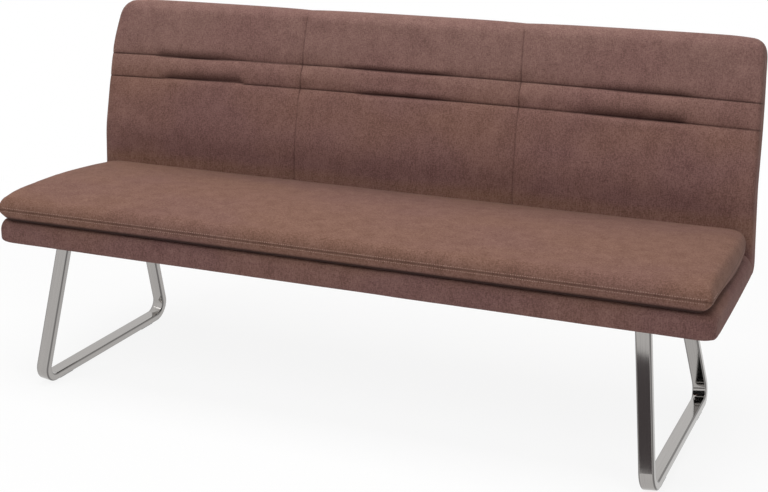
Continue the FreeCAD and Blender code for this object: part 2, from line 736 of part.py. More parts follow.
def floor_glides():
    """Wedges that level the leaning runners, each plugged into its tube."""
    half = GLIDE_WIDTH / 2
    glides = []
    for y in glide_spans():
        wedge = box(-half, half, y, y + GLIDE_LENGTH, -BEYOND, 0)
        room = box(0, BENCH_LENGTH, y - BEYOND, y + GLIDE_LENGTH + BEYOND, 0, PLATE_BOTTOM)
        glides.append(leant(wedge.fuse(glide_lug(y))).common(room))
    return group(glides + [mirrored(glide) for glide in glides])


def plate_ends():
    """Front and rear ends of the mounting plates."""
    front, rear = leg_tops()
    return front - PLATE_MARGIN, rear + PLATE_MARGIN


def plate_bolts():
    """Places of the skid bolts along a plate, evenly spaced between its legs."""
    front, rear = leg_tops()
    first = front + TUBE_DEPTH + PLATE_BOLT_FROM_LEG
    last = rear - TUBE_DEPTH - PLATE_BOLT_FROM_LEG
    return [first + (last - first) * step / (PLATE_BOLT_COUNT - 1) for step in range(PLATE_BOLT_COUNT)]


def skid_plate():
    """Right mounting plate, welded on top of the skid and bolted under the seat frame."""
    left = SKID_X - PLATE_WIDTH / 2
    right = SKID_X + PLATE_WIDTH / 2
    front, rear = plate_ends()
    cut = PLATE_BEVEL
    plate = upright([(left, front + cut, 0), (left + cut, front, 0),
                     (right - cut, front, 0), (right, front + cut, 0),
                     (right, rear - cut, 0), (right - cut, rear, 0),
                     (left + cut, rear, 0), (left, rear - cut, 0)], PLATE_BOTTOM, FRAME_BOTTOM)
    return plate.cut([bar(BOLT_HOLE_RADIUS, Vector(SKID_X, y, PLATE_BOTTOM), UP, PLATE_THICKNESS)
                      for y in plate_bolts()])


def skid_fasteners():
    """Bolts and nuts that hold the skid plates to the cross boards."""
    places = [(x, y) for x in (-SKID_X, SKID_X) for y in plate_bolts()]
    bolt = hex_bolt(BOARD_TOP - PLATE_BOTTOM)
    return {"skid_bolts": group(set_at(bolt, Vector(x, y, PLATE_BOTTOM)) for x, y in places),
            "skid_nuts": group(set_at(hex_nut(), Vector(x, y, BOARD_TOP)) for x, y in places)}


def both_ends(name, shape):
    """A right-hand piece and its left-hand twin."""
    return {name + "_right": shape, name + "_left": mirrored(shape)}


def build_nodes():
    """Every piece of the bench by name."""
    nodes = {"floor_glides": floor_glides(),
             "seat_front_rail": seat_front_rail(),
             "seat_rear_rail": seat_rear_rail(),
             "seat_centre_rail": cross_board(0),
             "seat_corner_blocks": seat_corner_blocks(),
             "seat_webbing": seat_webbing(),
             "seat_base_foam": seat_base_foam(),
             "seat_base_cover": seat_base_cover(),
             "seat_dust_cloth": seat_dust_cloth(),
             "seat_cushion_foam": cushion_form(COVER),
             "back_lower_rail": back_lower_rail(),
             "back_middle_rail": upper_strip(POST_BACK, BACK_RAIL_THICKNESS, MIDDLE_RAIL_UP,
                                             BACK_RAIL_WIDTH, POST_HALF),
             "back_top_rail": upper_strip(POST_BACK, BACK_RAIL_THICKNESS, POST_TOP - BACK_RAIL_WIDTH,
                                          BACK_RAIL_WIDTH, POST_HALF),
             "back_webbing": back_webbing(),
             "back_foam": back_foam()}
    nodes.update(both_ends("skid_tube", skid_tube()))
    nodes.update(both_ends("skid_plate", skid_plate()))
    nodes.update(both_ends("seat_end_rail", seat_end_rail()))
    nodes.update(both_ends("seat_cross_rail", seat_cross_rail()))
    nodes.update(both_ends("back_outer_post", back_post(OUTER_POST_X)))
    nodes.update(both_ends("back_inner_post", back_post(INNER_POST_X)))
    for pieces in (skid_fasteners(), post_fasteners(), cushion_covers(), back_covers()):
        nodes.update(pieces)
    return nodes


def main():
    """Write each piece, with the origin under the middle of the bench."""
    nodes = build_nodes()
    extent = group(nodes.values()).optimalBoundingBox(False)
    os.makedirs("parts", exist_ok=True)
    for name, shape in nodes.items():
        shape.translate(Vector(0, -(extent.YMin + extent.YMax) / 2, 0))
        shape.exportStep("parts/" + name + ".step")


main()
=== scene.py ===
"""Looks of a long upholstered dining bench with a pleated back, on two splayed skids of bent steel tube."""

import logging
import math
from dataclasses import dataclass
from enum import Enum
from typing import Sequence

import bmesh
import bpy
from mathutils import Matrix, Vector, noise
from mathutils.bvhtree import BVHTree


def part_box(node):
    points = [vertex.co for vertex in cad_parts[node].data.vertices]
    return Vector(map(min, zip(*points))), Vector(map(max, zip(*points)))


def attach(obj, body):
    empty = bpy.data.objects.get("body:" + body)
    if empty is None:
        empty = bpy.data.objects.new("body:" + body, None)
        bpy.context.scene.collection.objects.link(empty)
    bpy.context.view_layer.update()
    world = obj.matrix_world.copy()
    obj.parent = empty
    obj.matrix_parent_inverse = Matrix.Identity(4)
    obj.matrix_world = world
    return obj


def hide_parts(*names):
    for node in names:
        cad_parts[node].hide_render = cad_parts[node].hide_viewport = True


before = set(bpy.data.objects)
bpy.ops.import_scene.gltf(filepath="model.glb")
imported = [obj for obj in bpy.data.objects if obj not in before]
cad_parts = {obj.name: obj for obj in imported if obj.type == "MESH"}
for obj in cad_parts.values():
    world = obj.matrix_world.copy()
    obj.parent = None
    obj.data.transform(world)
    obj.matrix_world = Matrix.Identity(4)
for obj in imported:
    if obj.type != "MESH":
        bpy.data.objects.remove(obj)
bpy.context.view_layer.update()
BODY = "root"
MERGE = 1e-6
LEAST_THICKNESS = 0.001
CAP_SHARES = (1.0, 0.66, 0.33)
LOG = logging.getLogger("bench")

Colour = tuple[float, float, float]
Band = tuple[float, float]
Edges = list[bmesh.types.BMEdge]


class Side(Enum):
    """End of the bench that a piece stands at, by the sign of its X."""

    LEFT = -1
    RIGHT = 1


class Grain(Enum):
    """Way that the grain of a board runs, by how fast its figure changes along X, Y and Z."""

    ALONG_BENCH = (3.0, 60.0, 60.0)
    FRONT_TO_BACK = (60.0, 3.0, 60.0)
    UPRIGHT = (60.0, 60.0, 3.0)


class Signal:
    """One shader value, whose arithmetic adds Math nodes to its graph."""

    def __init__(self, graph: "Graph", socket: bpy.types.NodeSocket) -> None:
        """Keep the graph and the output socket."""
        self.graph = graph
        self.socket = socket

    def _math(self, operation: str, first: "Signal | float", second: "Signal | float") -> "Signal":
        """Result of one Math node, by its operation and its two values."""
        return self.graph.add("ShaderNodeMath", {"operation": operation}, {0: first, 1: second})

    def __add__(self, other: "Signal | float") -> "Signal":
        """Sum of two values."""
        return self._math("ADD", self, other)

    def __radd__(self, other: float) -> "Signal":
        """Sum with a plain number on the left."""
        return self._math("ADD", other, self)

    def __sub__(self, other: "Signal | float") -> "Signal":
        """Difference of two values."""
        return self._math("SUBTRACT", self, other)

    def __rsub__(self, other: float) -> "Signal":
        """Plain number less this value."""
        return self._math("SUBTRACT", other, self)

    def __mul__(self, other: "Signal | float") -> "Signal":
        """Product of two values."""
        return self._math("MULTIPLY", self, other)

    def __rmul__(self, other: float) -> "Signal":
        """Product with a plain number on the left."""
        return self._math("MULTIPLY", other, self)

    def at_most(self, other: "Signal | float") -> "Signal":
        """Lesser of two values."""
        return self._math("MINIMUM", self, other)

    def between(self, low: float, high: float) -> "Signal":
        """Smooth step of this value, from 0 at the low one to 1 at the high one."""
        sockets = {"Value": self, "From Min": low, "From Max": high}
        return self.graph.add("ShaderNodeMapRange", {"interpolation_type": "SMOOTHSTEP"}, sockets)


class Graph:
    """Node tree of a material or of the world."""

    def __init__(self, owner: bpy.types.Material | bpy.types.World) -> None:
        """Start an empty tree with the place on the piece.

        Args:
            owner: material or world that holds the tree.
        """
        owner.use_nodes = True
        self.owner = owner
        self.tree = owner.node_tree
        self.tree.nodes.clear()
        self.place = self.add("ShaderNodeTexCoord", output="Object")

    def add(
        self,
        kind: str,
        settings: dict | None = None,
        sockets: dict | None = None,
        output: int | str = 0,
    ) -> Signal:
        """Add a node, set it up and feed it.

        Args:
            kind: the node's type.
            settings: the node's properties, which are set first.
            sockets: values or signals by input name or number.
            output: the output to hand back.

        Returns:
            The output as a signal.
        """
        node = self.tree.nodes.new(kind)
        for key, value in (settings or {}).items():
            setattr(node, key, value)
        for key, value in (sockets or {}).items():
            socket = node.inputs[key]
            if isinstance(value, Signal):
                self.tree.links.new(value.socket, socket)
            elif isinstance(value, tuple) and len(value) < len(socket.default_value):
                socket.default_value = (*value, 1.0)
            else:
                socket.default_value = value
        return Signal(self, node.outputs[output])

    def scaled(self, cells: Colour | float) -> Signal:
        """Place on the piece, with a number of cells to a metre, alike or along each axis."""
        scale = cells if isinstance(cells, tuple) else (cells, cells, cells)
        return self.add("ShaderNodeMapping", None, {"Vector": self.place, "Scale": scale})

    def noise(
        self, cells: Signal | Colour | float, detail: float = 2.0, rough: float = 0.5, seed: float = 0.0
    ) -> Signal:
        """Cloudy noise.

        Args:
            cells: cells to a metre, alike or along each axis, or a vector of one cell to a unit.
            detail: number of finer layers.
            rough: weight of the finer layers.
            seed: fourth coordinate that sets this noise apart.

        Returns:
            Noise of about 0 to 1.
        """
        vector = cells if isinstance(cells, Signal) else self.scaled(cells)
        sockets = {"Vector": vector, "W": seed, "Scale": 1.0, "Detail": detail, "Roughness": rough}
        return self.add("ShaderNodeTexNoise", {"noise_dimensions": "4D"}, sockets)

    def mix(self, factor: Signal | float, first: Signal | Colour, second: Signal | Colour) -> Signal:
        """Blend of two colours, by the share of the second."""
        return self.add("ShaderNodeMix", {"data_type": "RGBA"}, {0: factor, 6: first, 7: second}, 2)

    def attribute(self, name: str) -> Signal:
        """Number that the mesh holds at each point."""
        return self.add("ShaderNodeAttribute", {"attribute_name": name}, output="Fac")

    def combine(self, x: Signal | float, y: Signal | float, z: Signal | float) -> Signal:
        """Vector of three values."""
        return self.add("ShaderNodeCombineXYZ", None, {0: x, 1: y, 2: z})

    def bump(self, height: Signal, distance: float) -> Signal:
        """Normal of a surface that a height of 1 raises by a distance in metres."""
        return self.add("ShaderNodeBump", None, {"Distance": distance, "Height": height})

    def close(self, **sockets: Signal | float | Colour) -> bpy.types.Material:
        """End the tree in a Principled shader, whose inputs come with underscores for spaces."""
        named = {key.replace("_", " "): value for key, value in sockets.items()}
        return self.end(self.add("ShaderNodeBsdfPrincipled", None, named))

    def end(self, shader: Signal) -> bpy.types.Material | bpy.types.World:
        """Send a shader to the output.

        Args:
            shader: the last shader of the tree.

        Returns:
            The tree's owner.
        """
        of_world = isinstance(self.owner, bpy.types.World)
        output = self.tree.nodes.new("ShaderNodeOutputWorld" if of_world else "ShaderNodeOutputMaterial")
        self.tree.links.new(shader.socket, output.inputs["Surface"])
        return self.owner


@dataclass(frozen=True)
class Finish:
    """Procedural material that is made once and shared by its pieces."""

    name: str
    slot: str

    def paint(self, graph: Graph) -> bpy.types.Material:
        """Fill the material's tree."""
        raise NotImplementedError

    def material(self) -> bpy.types.Material:
        """Give the material, made at its first use."""
        known = bpy.data.materials.get(self.name)
        return known or self.paint(Graph(bpy.data.materials.new(self.name)))


@dataclass(frozen=True)
class SuedeCloth(Finish):
    """Brown furnishing cloth with a short nap, a fine mixed grain, faint plum patches and painted shade."""

    name: str = "suede_cloth"
    slot: str = "cover_fabric"
    brown: Colour = (0.200, 0.100, 0.071)
    tan: Colour = (0.184, 0.0915, 0.0610)
    # Plum of the patches, also used for painted shade low on the back and on the base.
    plum: Colour = (0.160, 0.077, 0.072)
    # Greyer, lighter tone towards the top of the back.
    dusty: Colour = (0.205, 0.114, 0.101)
    pale: Colour = (0.38, 0.235, 0.195)
    shadow: Colour = (0.020, 0.0065, 0.0060)
    # Height bands. Below the first, the base takes painted shade in plum; the foot bands bound painted shade
    # in plum low on the back.
    base_top: Band = (0.40, 0.44)
    seat_starts: Band = (0.43, 0.46)
    seat_ends: Band = (0.50, 0.53)
    painted_shade_foot_starts: Band = (0.49, 0.53)
    painted_shade_foot_ends: Band = (0.55, 0.76)
    back_top: Band = (0.66, 0.84)

    def paint(self, graph: Graph) -> bpy.types.Material:
        """Lay patches, grain and flecks over each other, and add painted shade by height and by the mesh's
        layer.

        Args:
            graph: tree of the material.

        Returns:
            The material.
        """
        streak = graph.noise((420.0, 420.0, 90.0), 2.0, 0.6)
        weft = graph.noise((120.0, 480.0, 560.0), 2.0, 0.6, 1.0)
        fleck = graph.noise(330.0, 1.0, 0.5, 2.0)
        nap = graph.noise((26.0, 34.0, 18.0), 3.0, 0.6, 3.0)
        patch = graph.noise((3.0, 6.0, 5.0), 2.0, 0.5, 4.0)
        grain = 0.36 * streak + 0.30 * weft + 0.34 * fleck
        height = graph.add("ShaderNodeSeparateXYZ", None, {0: graph.place}, "Z")
        # Painted shade: the back just above the seat and the base under the cushion turn a darker plum.
        foot = height.between(*self.painted_shade_foot_starts) * (1.0 - height.between(*self.painted_shade_foot_ends))
        base = 1.0 - height.between(*self.base_top)
        seat = height.between(*self.seat_starts) * (1.0 - height.between(*self.seat_ends))
        # The cloth turns greyer and lighter towards the top of the back.
        dusty = graph.mix(0.85 * height.between(*self.back_top), self.brown, self.dusty)
        warm = graph.mix(seat, dusty, self.tan)
        plum = (1.0 - 0.5 * seat) * patch.between(0.34, 0.76) + 0.6 * foot + 0.6 * base
        tone = graph.mix(plum.at_most(1.0), warm, self.plum)
        dark = graph.mix(0.34, tone, self.shadow)
        light = graph.mix(0.26, tone, self.pale)
        worn = graph.mix((0.80 * grain + 0.20 * nap).between(0.37, 0.63), dark, light)
        # Painted shade: the mesh's layer darkens sewn lines, open folds, the gap over the base and the seat's
        # rear towards the shadow colour.
        colour = graph.mix(graph.attribute("crease"), worn, self.shadow)
        return graph.close(
            Base_Color=colour,
            Roughness=0.97 - 0.14 * grain,
            Normal=graph.bump(grain, 0.0006),
            Specular_IOR_Level=0.16,
            Sheen_Weight=0.07,
            Sheen_Roughness=0.5,
            Sheen_Tint=(0.85, 0.62, 0.55, 1.0),
        )


@dataclass(frozen=True)
class SewingThread(Finish):
    """Stout brown thread of the topstitching."""

    name: str = "sewing_thread"
    slot: str = "cover_fabric"
    dark: Colour = (0.26, 0.150, 0.120)
    light: Colour = (0.54, 0.385, 0.325)

    def paint(self, graph: Graph) -> bpy.types.Material:
        """Twist two tones of one thread.

        Args:
            graph: tree of the material.

        Returns:
            The material.
        """
        twist = graph.noise(2600.0, 1.0)
        colour = graph.mix(twist.between(0.35, 0.65), self.dark, self.light)
        return graph.close(Base_Color=colour, Roughness=0.7 - 0.2 * twist, Normal=graph.bump(twist, 0.0001))


@dataclass(frozen=True)
class BrushedSteel(Finish):
    """Stainless tube, brushed along its run and polished by handling."""

    name: str = "brushed_steel"
    slot: str = "skid_steel"
    dull: Colour = (0.33, 0.315, 0.305)
    bright: Colour = (0.43, 0.412, 0.395)
    # Colour of the dark reflection painted on the rounded corners.
    edge: Colour = (0.060, 0.056, 0.056)
    painted_reflection_share: float = 0.75
    along: float = 5.0
    across: float = 2200.0

    def paint(self, graph: Graph) -> bpy.types.Material:
        """Draw long brush lines along the tube, smudges across them, and a painted dark reflection on the
        rounded corners.

        Args:
            graph: tree of the material.

        Returns:
            The material.
        """
        run = self.along * graph.attribute("run")
        line = graph.noise(graph.combine(run, self.across * graph.attribute("around"), 0.0), 3.0, 0.6)
        smudge = graph.noise(11.0, 3.0, 0.5, 1.0)
        brushed = graph.mix(line.between(0.3, 0.7), self.dull, self.bright)
        # Painted reflection: the mesh's corner layer darkens the rounded corners.
        return graph.close(
            Base_Color=graph.mix(self.painted_reflection_share * graph.attribute("corner"), brushed, self.edge),
            Metallic=1.0,
            Roughness=0.05 + 0.05 * line + 0.04 * smudge,
            Normal=graph.bump(line, 0.00002),
        )


@dataclass(frozen=True)
class MillSteel(Finish):
    """Flat steel plate with a fine rolled surface."""

    name: str = "mill_steel"
    slot: str = "skid_steel"
    dull: Colour = (0.30, 0.29, 0.28)
    bright: Colour = (0.47, 0.46, 0.445)

    def paint(self, graph: Graph) -> bpy.types.Material:
        """Roll faint lines along the plate, with cloudy scale.

        Args:
            graph: tree of the material.

        Returns:
            The material.
        """
        line = graph.noise((900.0, 12.0, 900.0), 2.0)
        scale = graph.noise(45.0, 4.0, 0.6, 1.0)
        return graph.close(
            Base_Color=graph.mix(0.5 * line + 0.5 * scale, self.dull, self.bright),
            Metallic=1.0,
            Roughness=0.32 + 0.2 * scale,
            Normal=graph.bump(line, 0.00005),
        )


@dataclass(frozen=True)
class ZincSteel(Finish):
    """Zinc-plated fastener."""

    name: str = "zinc_steel_plating"
    slot: str = "zinc_steel"
    grey: Colour = (0.50, 0.51, 0.52)
    straw: Colour = (0.60, 0.56, 0.46)

    def paint(self, graph: Graph) -> bpy.types.Material:
        """Cloud the plating between grey and straw.

        Args:
            graph: tree of the material.

        Returns:
            The material.
        """
        cloud = graph.noise(160.0, 3.0)
        return graph.close(
            Base_Color=graph.mix(cloud.between(0.4, 0.7), self.grey, self.straw),
            Metallic=1.0,
            Roughness=0.28 + 0.16 * cloud,
        )


@dataclass(frozen=True)
class PlanedWood(Finish):
    """Planed frame timber with its grain along the board."""

    name: str = "planed_wood"
    slot: str = "frame_wood"
    grain: Grain = Grain.ALONG_BENCH
    pores: float = 9.0
    early: Colour = (0.60, 0.42, 0.24)
    late: Colour = (0.38, 0.22, 0.105)

    def paint(self, graph: Graph) -> bpy.types.Material:
        """Stretch growth bands and fine pores along the grain.

        Args:
            graph: tree of the material.

        Returns:
            The material.
        """
        band = graph.noise(self.grain.value, 4.0, 0.55)
        pore = graph.noise(tuple(self.pores * cells for cells in self.grain.value), 2.0, 0.5, 1.0)
        return graph.close(
            Base_Color=graph.mix((0.7 * band + 0.3 * pore).between(0.36, 0.66), self.early, self.late),
            Roughness=0.55 + 0.2 * pore,
            Normal=graph.bump(pore, 0.0003),
        )


@dataclass(frozen=True)
class Webbing(Finish):
    """Elastic upholstery webbing."""

    name: str = "elastic_webbing"
    slot: str = "webbing"
    dark: Colour = (0.045, 0.042, 0.040)
    light: Colour = (0.16, 0.15, 0.14)

    def paint(self, graph: Graph) -> bpy.types.Material:
        """Weave short ribs along and across the straps.

        Args:
            graph: tree of the material.

        Returns:
            The material.
        """
        rib = graph.noise((1100.0, 160.0, 160.0), 1.0)
        cross = graph.noise((160.0, 1100.0, 1100.0), 1.0, 0.5, 1.0)
        weave = 0.5 * rib + 0.5 * cross
        return graph.close(
            Base_Color=graph.mix(weave.between(0.35, 0.65), self.dark, self.light),
            Roughness=0.9 - 0.15 * weave,
            Normal=graph.bump(weave, 0.0006),
        )


@dataclass(frozen=True)
class Fleece(Finish):
    """Thin black lining cloth under the seat."""

    name: str = "lining_fleece"
    slot: str = "dust_cloth"
    dark: Colour = (0.014, 0.014, 0.015)
    light: Colour = (0.055, 0.053, 0.052)

    def paint(self, graph: Graph) -> bpy.types.Material:
        """Scatter loose fibres with pressed dots.

        Args:
            graph: tree of the material.

        Returns:
            The material.
        """
        fibre = graph.noise(420.0, 4.0, 0.65)
        dot = graph.noise(230.0, 0.0, 0.5, 1.0).between(0.62, 0.7)
        return graph.close(
            Base_Color=graph.mix(fibre.between(0.35, 0.75), self.dark, self.light),
            Roughness=0.92 - 0.25 * dot,
            Normal=graph.bump(fibre - 0.5 * dot, 0.0005),
        )


@dataclass(frozen=True)
class GlidePlastic(Finish):
    """Dark moulded plastic of the floor glides."""

    name: str = "moulded_glide"
    slot: str = "glide_plastic"
    dark: Colour = (0.030, 0.030, 0.031)
    light: Colour = (0.065, 0.064, 0.063)

    def paint(self, graph: Graph) -> bpy.types.Material:
        """Grain the moulding and scuff it.

        Args:
            graph: tree of the material.

        Returns:
            The material.
        """
        spark = graph.noise(900.0, 2.0)
        scuff = graph.noise((90.0, 30.0, 90.0), 3.0, 0.6, 1.0)
        return graph.close(
            Base_Color=graph.mix(scuff.between(0.4, 0.75), self.dark, self.light),
            Roughness=0.42 + 0.22 * spark,
            Normal=graph.bump(spark, 0.0002),
        )


def bell(distance: float, reach: float) -> float:
    """Bell curve that is 1 at no distance and falls away over a reach."""
    return math.exp(-((distance / reach) ** 2))


def ease(share: float) -> float:
    """Smooth step from 0 to 1 of a share."""
    held = min(max(share, 0.0), 1.0)
    return held * held * (3.0 - 2.0 * held)


def falls_back(inset: float, radius: float) -> float:
    """How far a rounded edge lies behind the face.

    Args:
        inset: distance from the end of the edge.
        radius: radius of the round.

    Returns:
        The distance, which is 0 past the round.
    """
    if inset >= radius:
        return 0.0
    return radius - math.sqrt(radius * radius - (radius - inset) ** 2)


def swells(inset: float, run: float, power: float) -> float:
    """Share of full height that a padded edge has at an inset, from 0 at the seam to 1 past its run."""
    share = 1.0 - min(max(inset / run, 0.0), 1.0)
    return (1.0 - share**power) ** (1.0 / power)


def paced(
    low: float, high: float, coarse: float, fine: float, near: Sequence[float], reach: float
) -> list[float]:
    """Places from low to high that stand closer together near some spots.

    Args:
        low: first place.
        high: last place.
        coarse: step far from every spot.
        fine: step at a spot.
        near: the spots.
        reach: distance from a spot at which the step is coarse again.

    Returns:
        The places in order.
    """
    places = [low]
    while places[-1] < high:
        gap = min(abs(places[-1] - spot) for spot in near)
        places.append(places[-1] + fine + (coarse - fine) * min(gap / reach, 1.0))
    stretch = (high - low) / (places[-1] - low)
    return [low + (place - low) * stretch for place in places]


def arc_insets(radius: float, steps: int) -> list[float]:
    """Insets that step evenly round a quarter circle, from 0 to its radius."""
    return [radius * (1.0 - math.cos(math.pi / 2 * step / steps)) for step in range(steps + 1)]


def both_ends(half: float, insets: Sequence[float], middle: Sequence[float]) -> list[float]:
    """Places along the bench from the left end to the right.

    Args:
        half: half of the length.
        insets: distances from either end, from the end inwards.
        middle: places between them.

    Returns:
        The places in order.
    """
    left = [inset - half for inset in insets]
    return [*left, *middle, *(-x for x in reversed(left))]


def add_object(name: str, bm: bmesh.types.BMesh, material: bpy.types.Material) -> bpy.types.Object:
    """Turn a bmesh into an object of the scene.

    Args:
        name: the object's name.
        bm: its mesh, which is freed.
        material: its material.

    Returns:
        The object.
    """
    mesh = bpy.data.meshes.new(name)
    bm.to_mesh(mesh)
    bm.free()
    mesh.materials.append(material)
    made = bpy.data.objects.new(name, mesh)
    bpy.context.scene.collection.objects.link(made)
    return made


def make_piece(name: str, bm: bmesh.types.BMesh, finish: Finish) -> bpy.types.Object:
    """Turn a bmesh into a smooth piece of the bench.

    Args:
        name: the piece's name.
        bm: its mesh, which is freed.
        finish: its finish.

    Returns:
        The piece, riding on the bench.
    """
    piece = add_object(name, bm, finish.material())
    piece.data.shade_smooth()
    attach(piece, BODY)
    LOG.info("%s: %d faces", name, len(piece.data.polygons))
    return piece


@dataclass(frozen=True)
class Mark:
    """Point of a padded ring, with how much shade is painted on it and how firmly its place is held in
    filling.
    """

    place: Vector
    crease: float = 0.0
    held: float = 0.0


Ring = list[Mark]


def drawn_in(ring: Ring, share: float) -> Ring:
    """Draw a ring in towards the middle line between its two halves.

    Args:
        ring: ring whose second half runs back beside the first.
        share: 0 to leave it, 1 to close it.

    Returns:
        The drawn ring.
    """
    last = len(ring) - 1
    middles = [(mark.place + ring[last - spot].place) / 2 for spot, mark in enumerate(ring)]
    return [Mark(mark.place.lerp(middle, share), mark.crease, 1.0) for mark, middle in zip(ring, middles)]


def capped(rings: Sequence[Ring]) -> list[Ring]:
    """Close both ends of a row of rings.

    Args:
        rings: rings from the left end to the right.

    Returns:
        The rings with steps that draw the first and the last one shut.
    """
    first = [drawn_in(rings[0], share) for share in CAP_SHARES]
    last = [drawn_in(rings[-1], share) for share in reversed(CAP_SHARES)]
    return [*first, *rings, *last]


def loft(rings: Sequence[Ring]) -> bmesh.types.BMesh:
    """Skin rings of equal count into a closed padded form.

    Args:
        rings: rings from the left end to the right, the first and last drawn shut.

    Returns:
        The form, with its painted shade and held points as layers.
    """
    bm = bmesh.new()
    # Layer of the shade that is painted on the cloth.
    crease = bm.verts.layers.float.new("crease")
    held = bm.verts.layers.float.new("held")
    across = len(rings) - 1
    around = len(rings[0])
    bmesh.ops.create_grid(bm, x_segments=across, y_segments=around, size=1.0)
    for vert in bm.verts:
        column = round((vert.co.x + 1.0) / 2.0 * across)
        row = round((vert.co.y + 1.0) / 2.0 * around) % around
        mark = rings[column][row]
        vert.co = mark.place
        vert[crease] = mark.crease
        vert[held] = mark.held
    bmesh.ops.remove_doubles(bm, verts=bm.verts, dist=MERGE)
    bmesh.ops.recalc_face_normals(bm, faces=bm.faces)
    return bm


@dataclass(frozen=True)
class Filling:
    """Cloth settings that fill a padded form from inside."""

    pressure: float = 0.7
    cap: float = 0.008
    frames: int = 14
    mass: float = 0.3
    quality: int = 5
    stiffness: float = 12.0
    bending: float = 4.0
    settling: int = 6

    def swell(self, form: bpy.types.Object) -> None:
        """Blow a form up between its held points, and keep the shape.

        Args:
            form: padded piece whose mesh says which points are held.
        """
        mesh = form.data
        group = form.vertex_groups.new(name="held")
        firm = [mark.value for mark in mesh.attributes["held"].data]
        for point, share in zip(mesh.vertices, firm):
            group.add([point.index], share, "REPLACE")
        modifier = form.modifiers.new("filling", "CLOTH")
        cloth = modifier.settings
        cloth.quality = self.quality
        cloth.mass = self.mass
        cloth.tension_stiffness = self.stiffness
        cloth.compression_stiffness = self.stiffness
        cloth.shear_stiffness = self.stiffness / 2
        cloth.bending_stiffness = self.bending
        cloth.use_pressure = True
        cloth.uniform_pressure_force = self.pressure
        cloth.vertex_group_mass = group.name
        cloth.effector_weights.gravity = 0.0
        modifier.point_cache.frame_end = self.frames
        for number in range(1, self.frames + 1):
            bpy.context.scene.frame_set(number)
        filled = form.evaluated_get(bpy.context.evaluated_depsgraph_get()).data
        moves = [after.co - before.co for before, after in zip(mesh.vertices, filled.vertices)]
        form.modifiers.remove(modifier)
        form.vertex_groups.remove(group)
        moves = [move * min(1.0, self.cap / max(move.length, MERGE)) for move in moves]
        for point, move, share in zip(mesh.vertices, self.settled(mesh, moves), firm):
            point.co += move * (1.0 - share)
        bpy.context.scene.frame_set(1)
        LOG.info("%s: filled", form.name)

    def settled(self, mesh: bpy.types.Mesh, moves: list[Vector]) -> list[Vector]:
        """Spread the moves over neighbours, as a stout cloth does, so that no small wrinkle stays.

        Args:
            mesh: mesh of the form.
            moves: move of every point.

        Returns:
            The evened moves.
        """
        for _ in range(self.settling):
            pooled = [move.copy() for move in moves]
            counts = [1] * len(moves)
            for edge in mesh.edges:
                for point, other in (edge.vertices, reversed(edge.vertices)):
                    pooled[point] += moves[other]
                    counts[point] += 1
            moves = [total / count for total, count in zip(pooled, counts)]
        return moves


@dataclass(frozen=True)
class Stitching:
    """Rows of short thread stitches laid on a padded piece."""

    pitch: float = 0.0055
    length: float = 0.0034
    thickness: float = 0.0013

    def sew(self, name: str, skin: bpy.types.Object, rows: Sequence[Sequence[Vector]]) -> bpy.types.Object:
        """Lay stitches along rows, each pressed onto the skin below it.

        Args:
            name: the new piece's name.
            skin: padded piece that is sewn.
            rows: polylines near the skin.

        Returns:
            The stitches as one piece.
        """
        tree = BVHTree.FromPolygons(
            [point.co for point in skin.data.vertices],
            [face.vertices[:] for face in skin.data.polygons],
        )
        bm = bmesh.new()
        size = Matrix.Diagonal((self.length / 2, self.thickness / 2, self.thickness / 2, 1.0))
        for row in rows:
            for start, end in self.spans(row):
                place, normal, _, _ = tree.find_nearest((start + end) / 2)
                along = (end - start).normalized()
                across = normal.cross(along).normalized()
                turn = Matrix((along, across, along.cross(across))).transposed().to_4x4()
                bmesh.ops.create_icosphere(
                    bm, subdivisions=1, radius=1.0, matrix=Matrix.Translation(place) @ turn @ size
                )
        return make_piece(name, bm, SewingThread())

    def spans(self, row: Sequence[Vector]) -> list[tuple[Vector, Vector]]:
        """Start and end of every stitch along a row.

        Args:
            row: the row's polyline.

        Returns:
            Pairs of points a stitch apart.
        """
        spots = []
        spare = 0.0
        for start, end in zip(row, row[1:]):
            gap = (end - start).length
            while spare < gap:
                spots.append(start.lerp(end, spare / gap))
                spare += self.pitch
            spare -= gap
        return [(spot, spot.lerp(after, self.length / self.pitch)) for spot, after in zip(spots, spots[1:])]


@dataclass(frozen=True)
class BackBend:
    """Front line of the backrest from the seat up: two straights, the upper leaning further, and an arc."""

    foot: Vector
    lower_lean: float = math.radians(1.0)
    upper_lean: float = math.radians(12.3)
    corner_rise: float = 0.145
    radius: float = 0.280
    upper_length: float = 0.357

    @property
    def tangent(self) -> float:
        """Length from the corner of the bend to either end of its arc."""
        return self.radius * math.tan((self.upper_lean - self.lower_lean) / 2)

    @property
    def lower_run(self) -> float:
        """Length of the lower straight."""
        return self.corner_rise / math.cos(self.lower_lean) - self.tangent

    @property
    def arc_run(self) -> float:
        """Length of the arc."""
        return self.radius * (self.upper_lean - self.lower_lean)

    def above_corner(self, length: float) -> float:
        """Run of a place on the upper straight, from its length above the bend's corner."""
        return self.lower_run + self.arc_run + length - self.tangent

    def point(self, x: float, run: float, depth: float) -> Vector:
        """Place of a point on or behind the front face.

        Args:
            x: place along the bench.
            run: length up the front line from the seat base.
            depth: depth behind the front face.

        Returns:
            The point.
        """
        lower = min(run, self.lower_run)
        lean = self.lower_lean + min(max(run - lower, 0.0), self.arc_run) / self.radius
        upper = max(run - self.lower_run - self.arc_run, 0.0)
        y = lower * math.sin(self.lower_lean) + upper * math.sin(self.upper_lean)
        z = lower * math.cos(self.lower_lean) + upper * math.cos(self.upper_lean)
        y += self.radius * (math.cos(self.lower_lean) - math.cos(lean)) + depth * math.cos(lean)
        z += self.radius * (math.sin(lean) - math.sin(self.lower_lean)) - depth * math.sin(lean)
        return Vector((x, self.foot.y + y, self.foot.z + z))


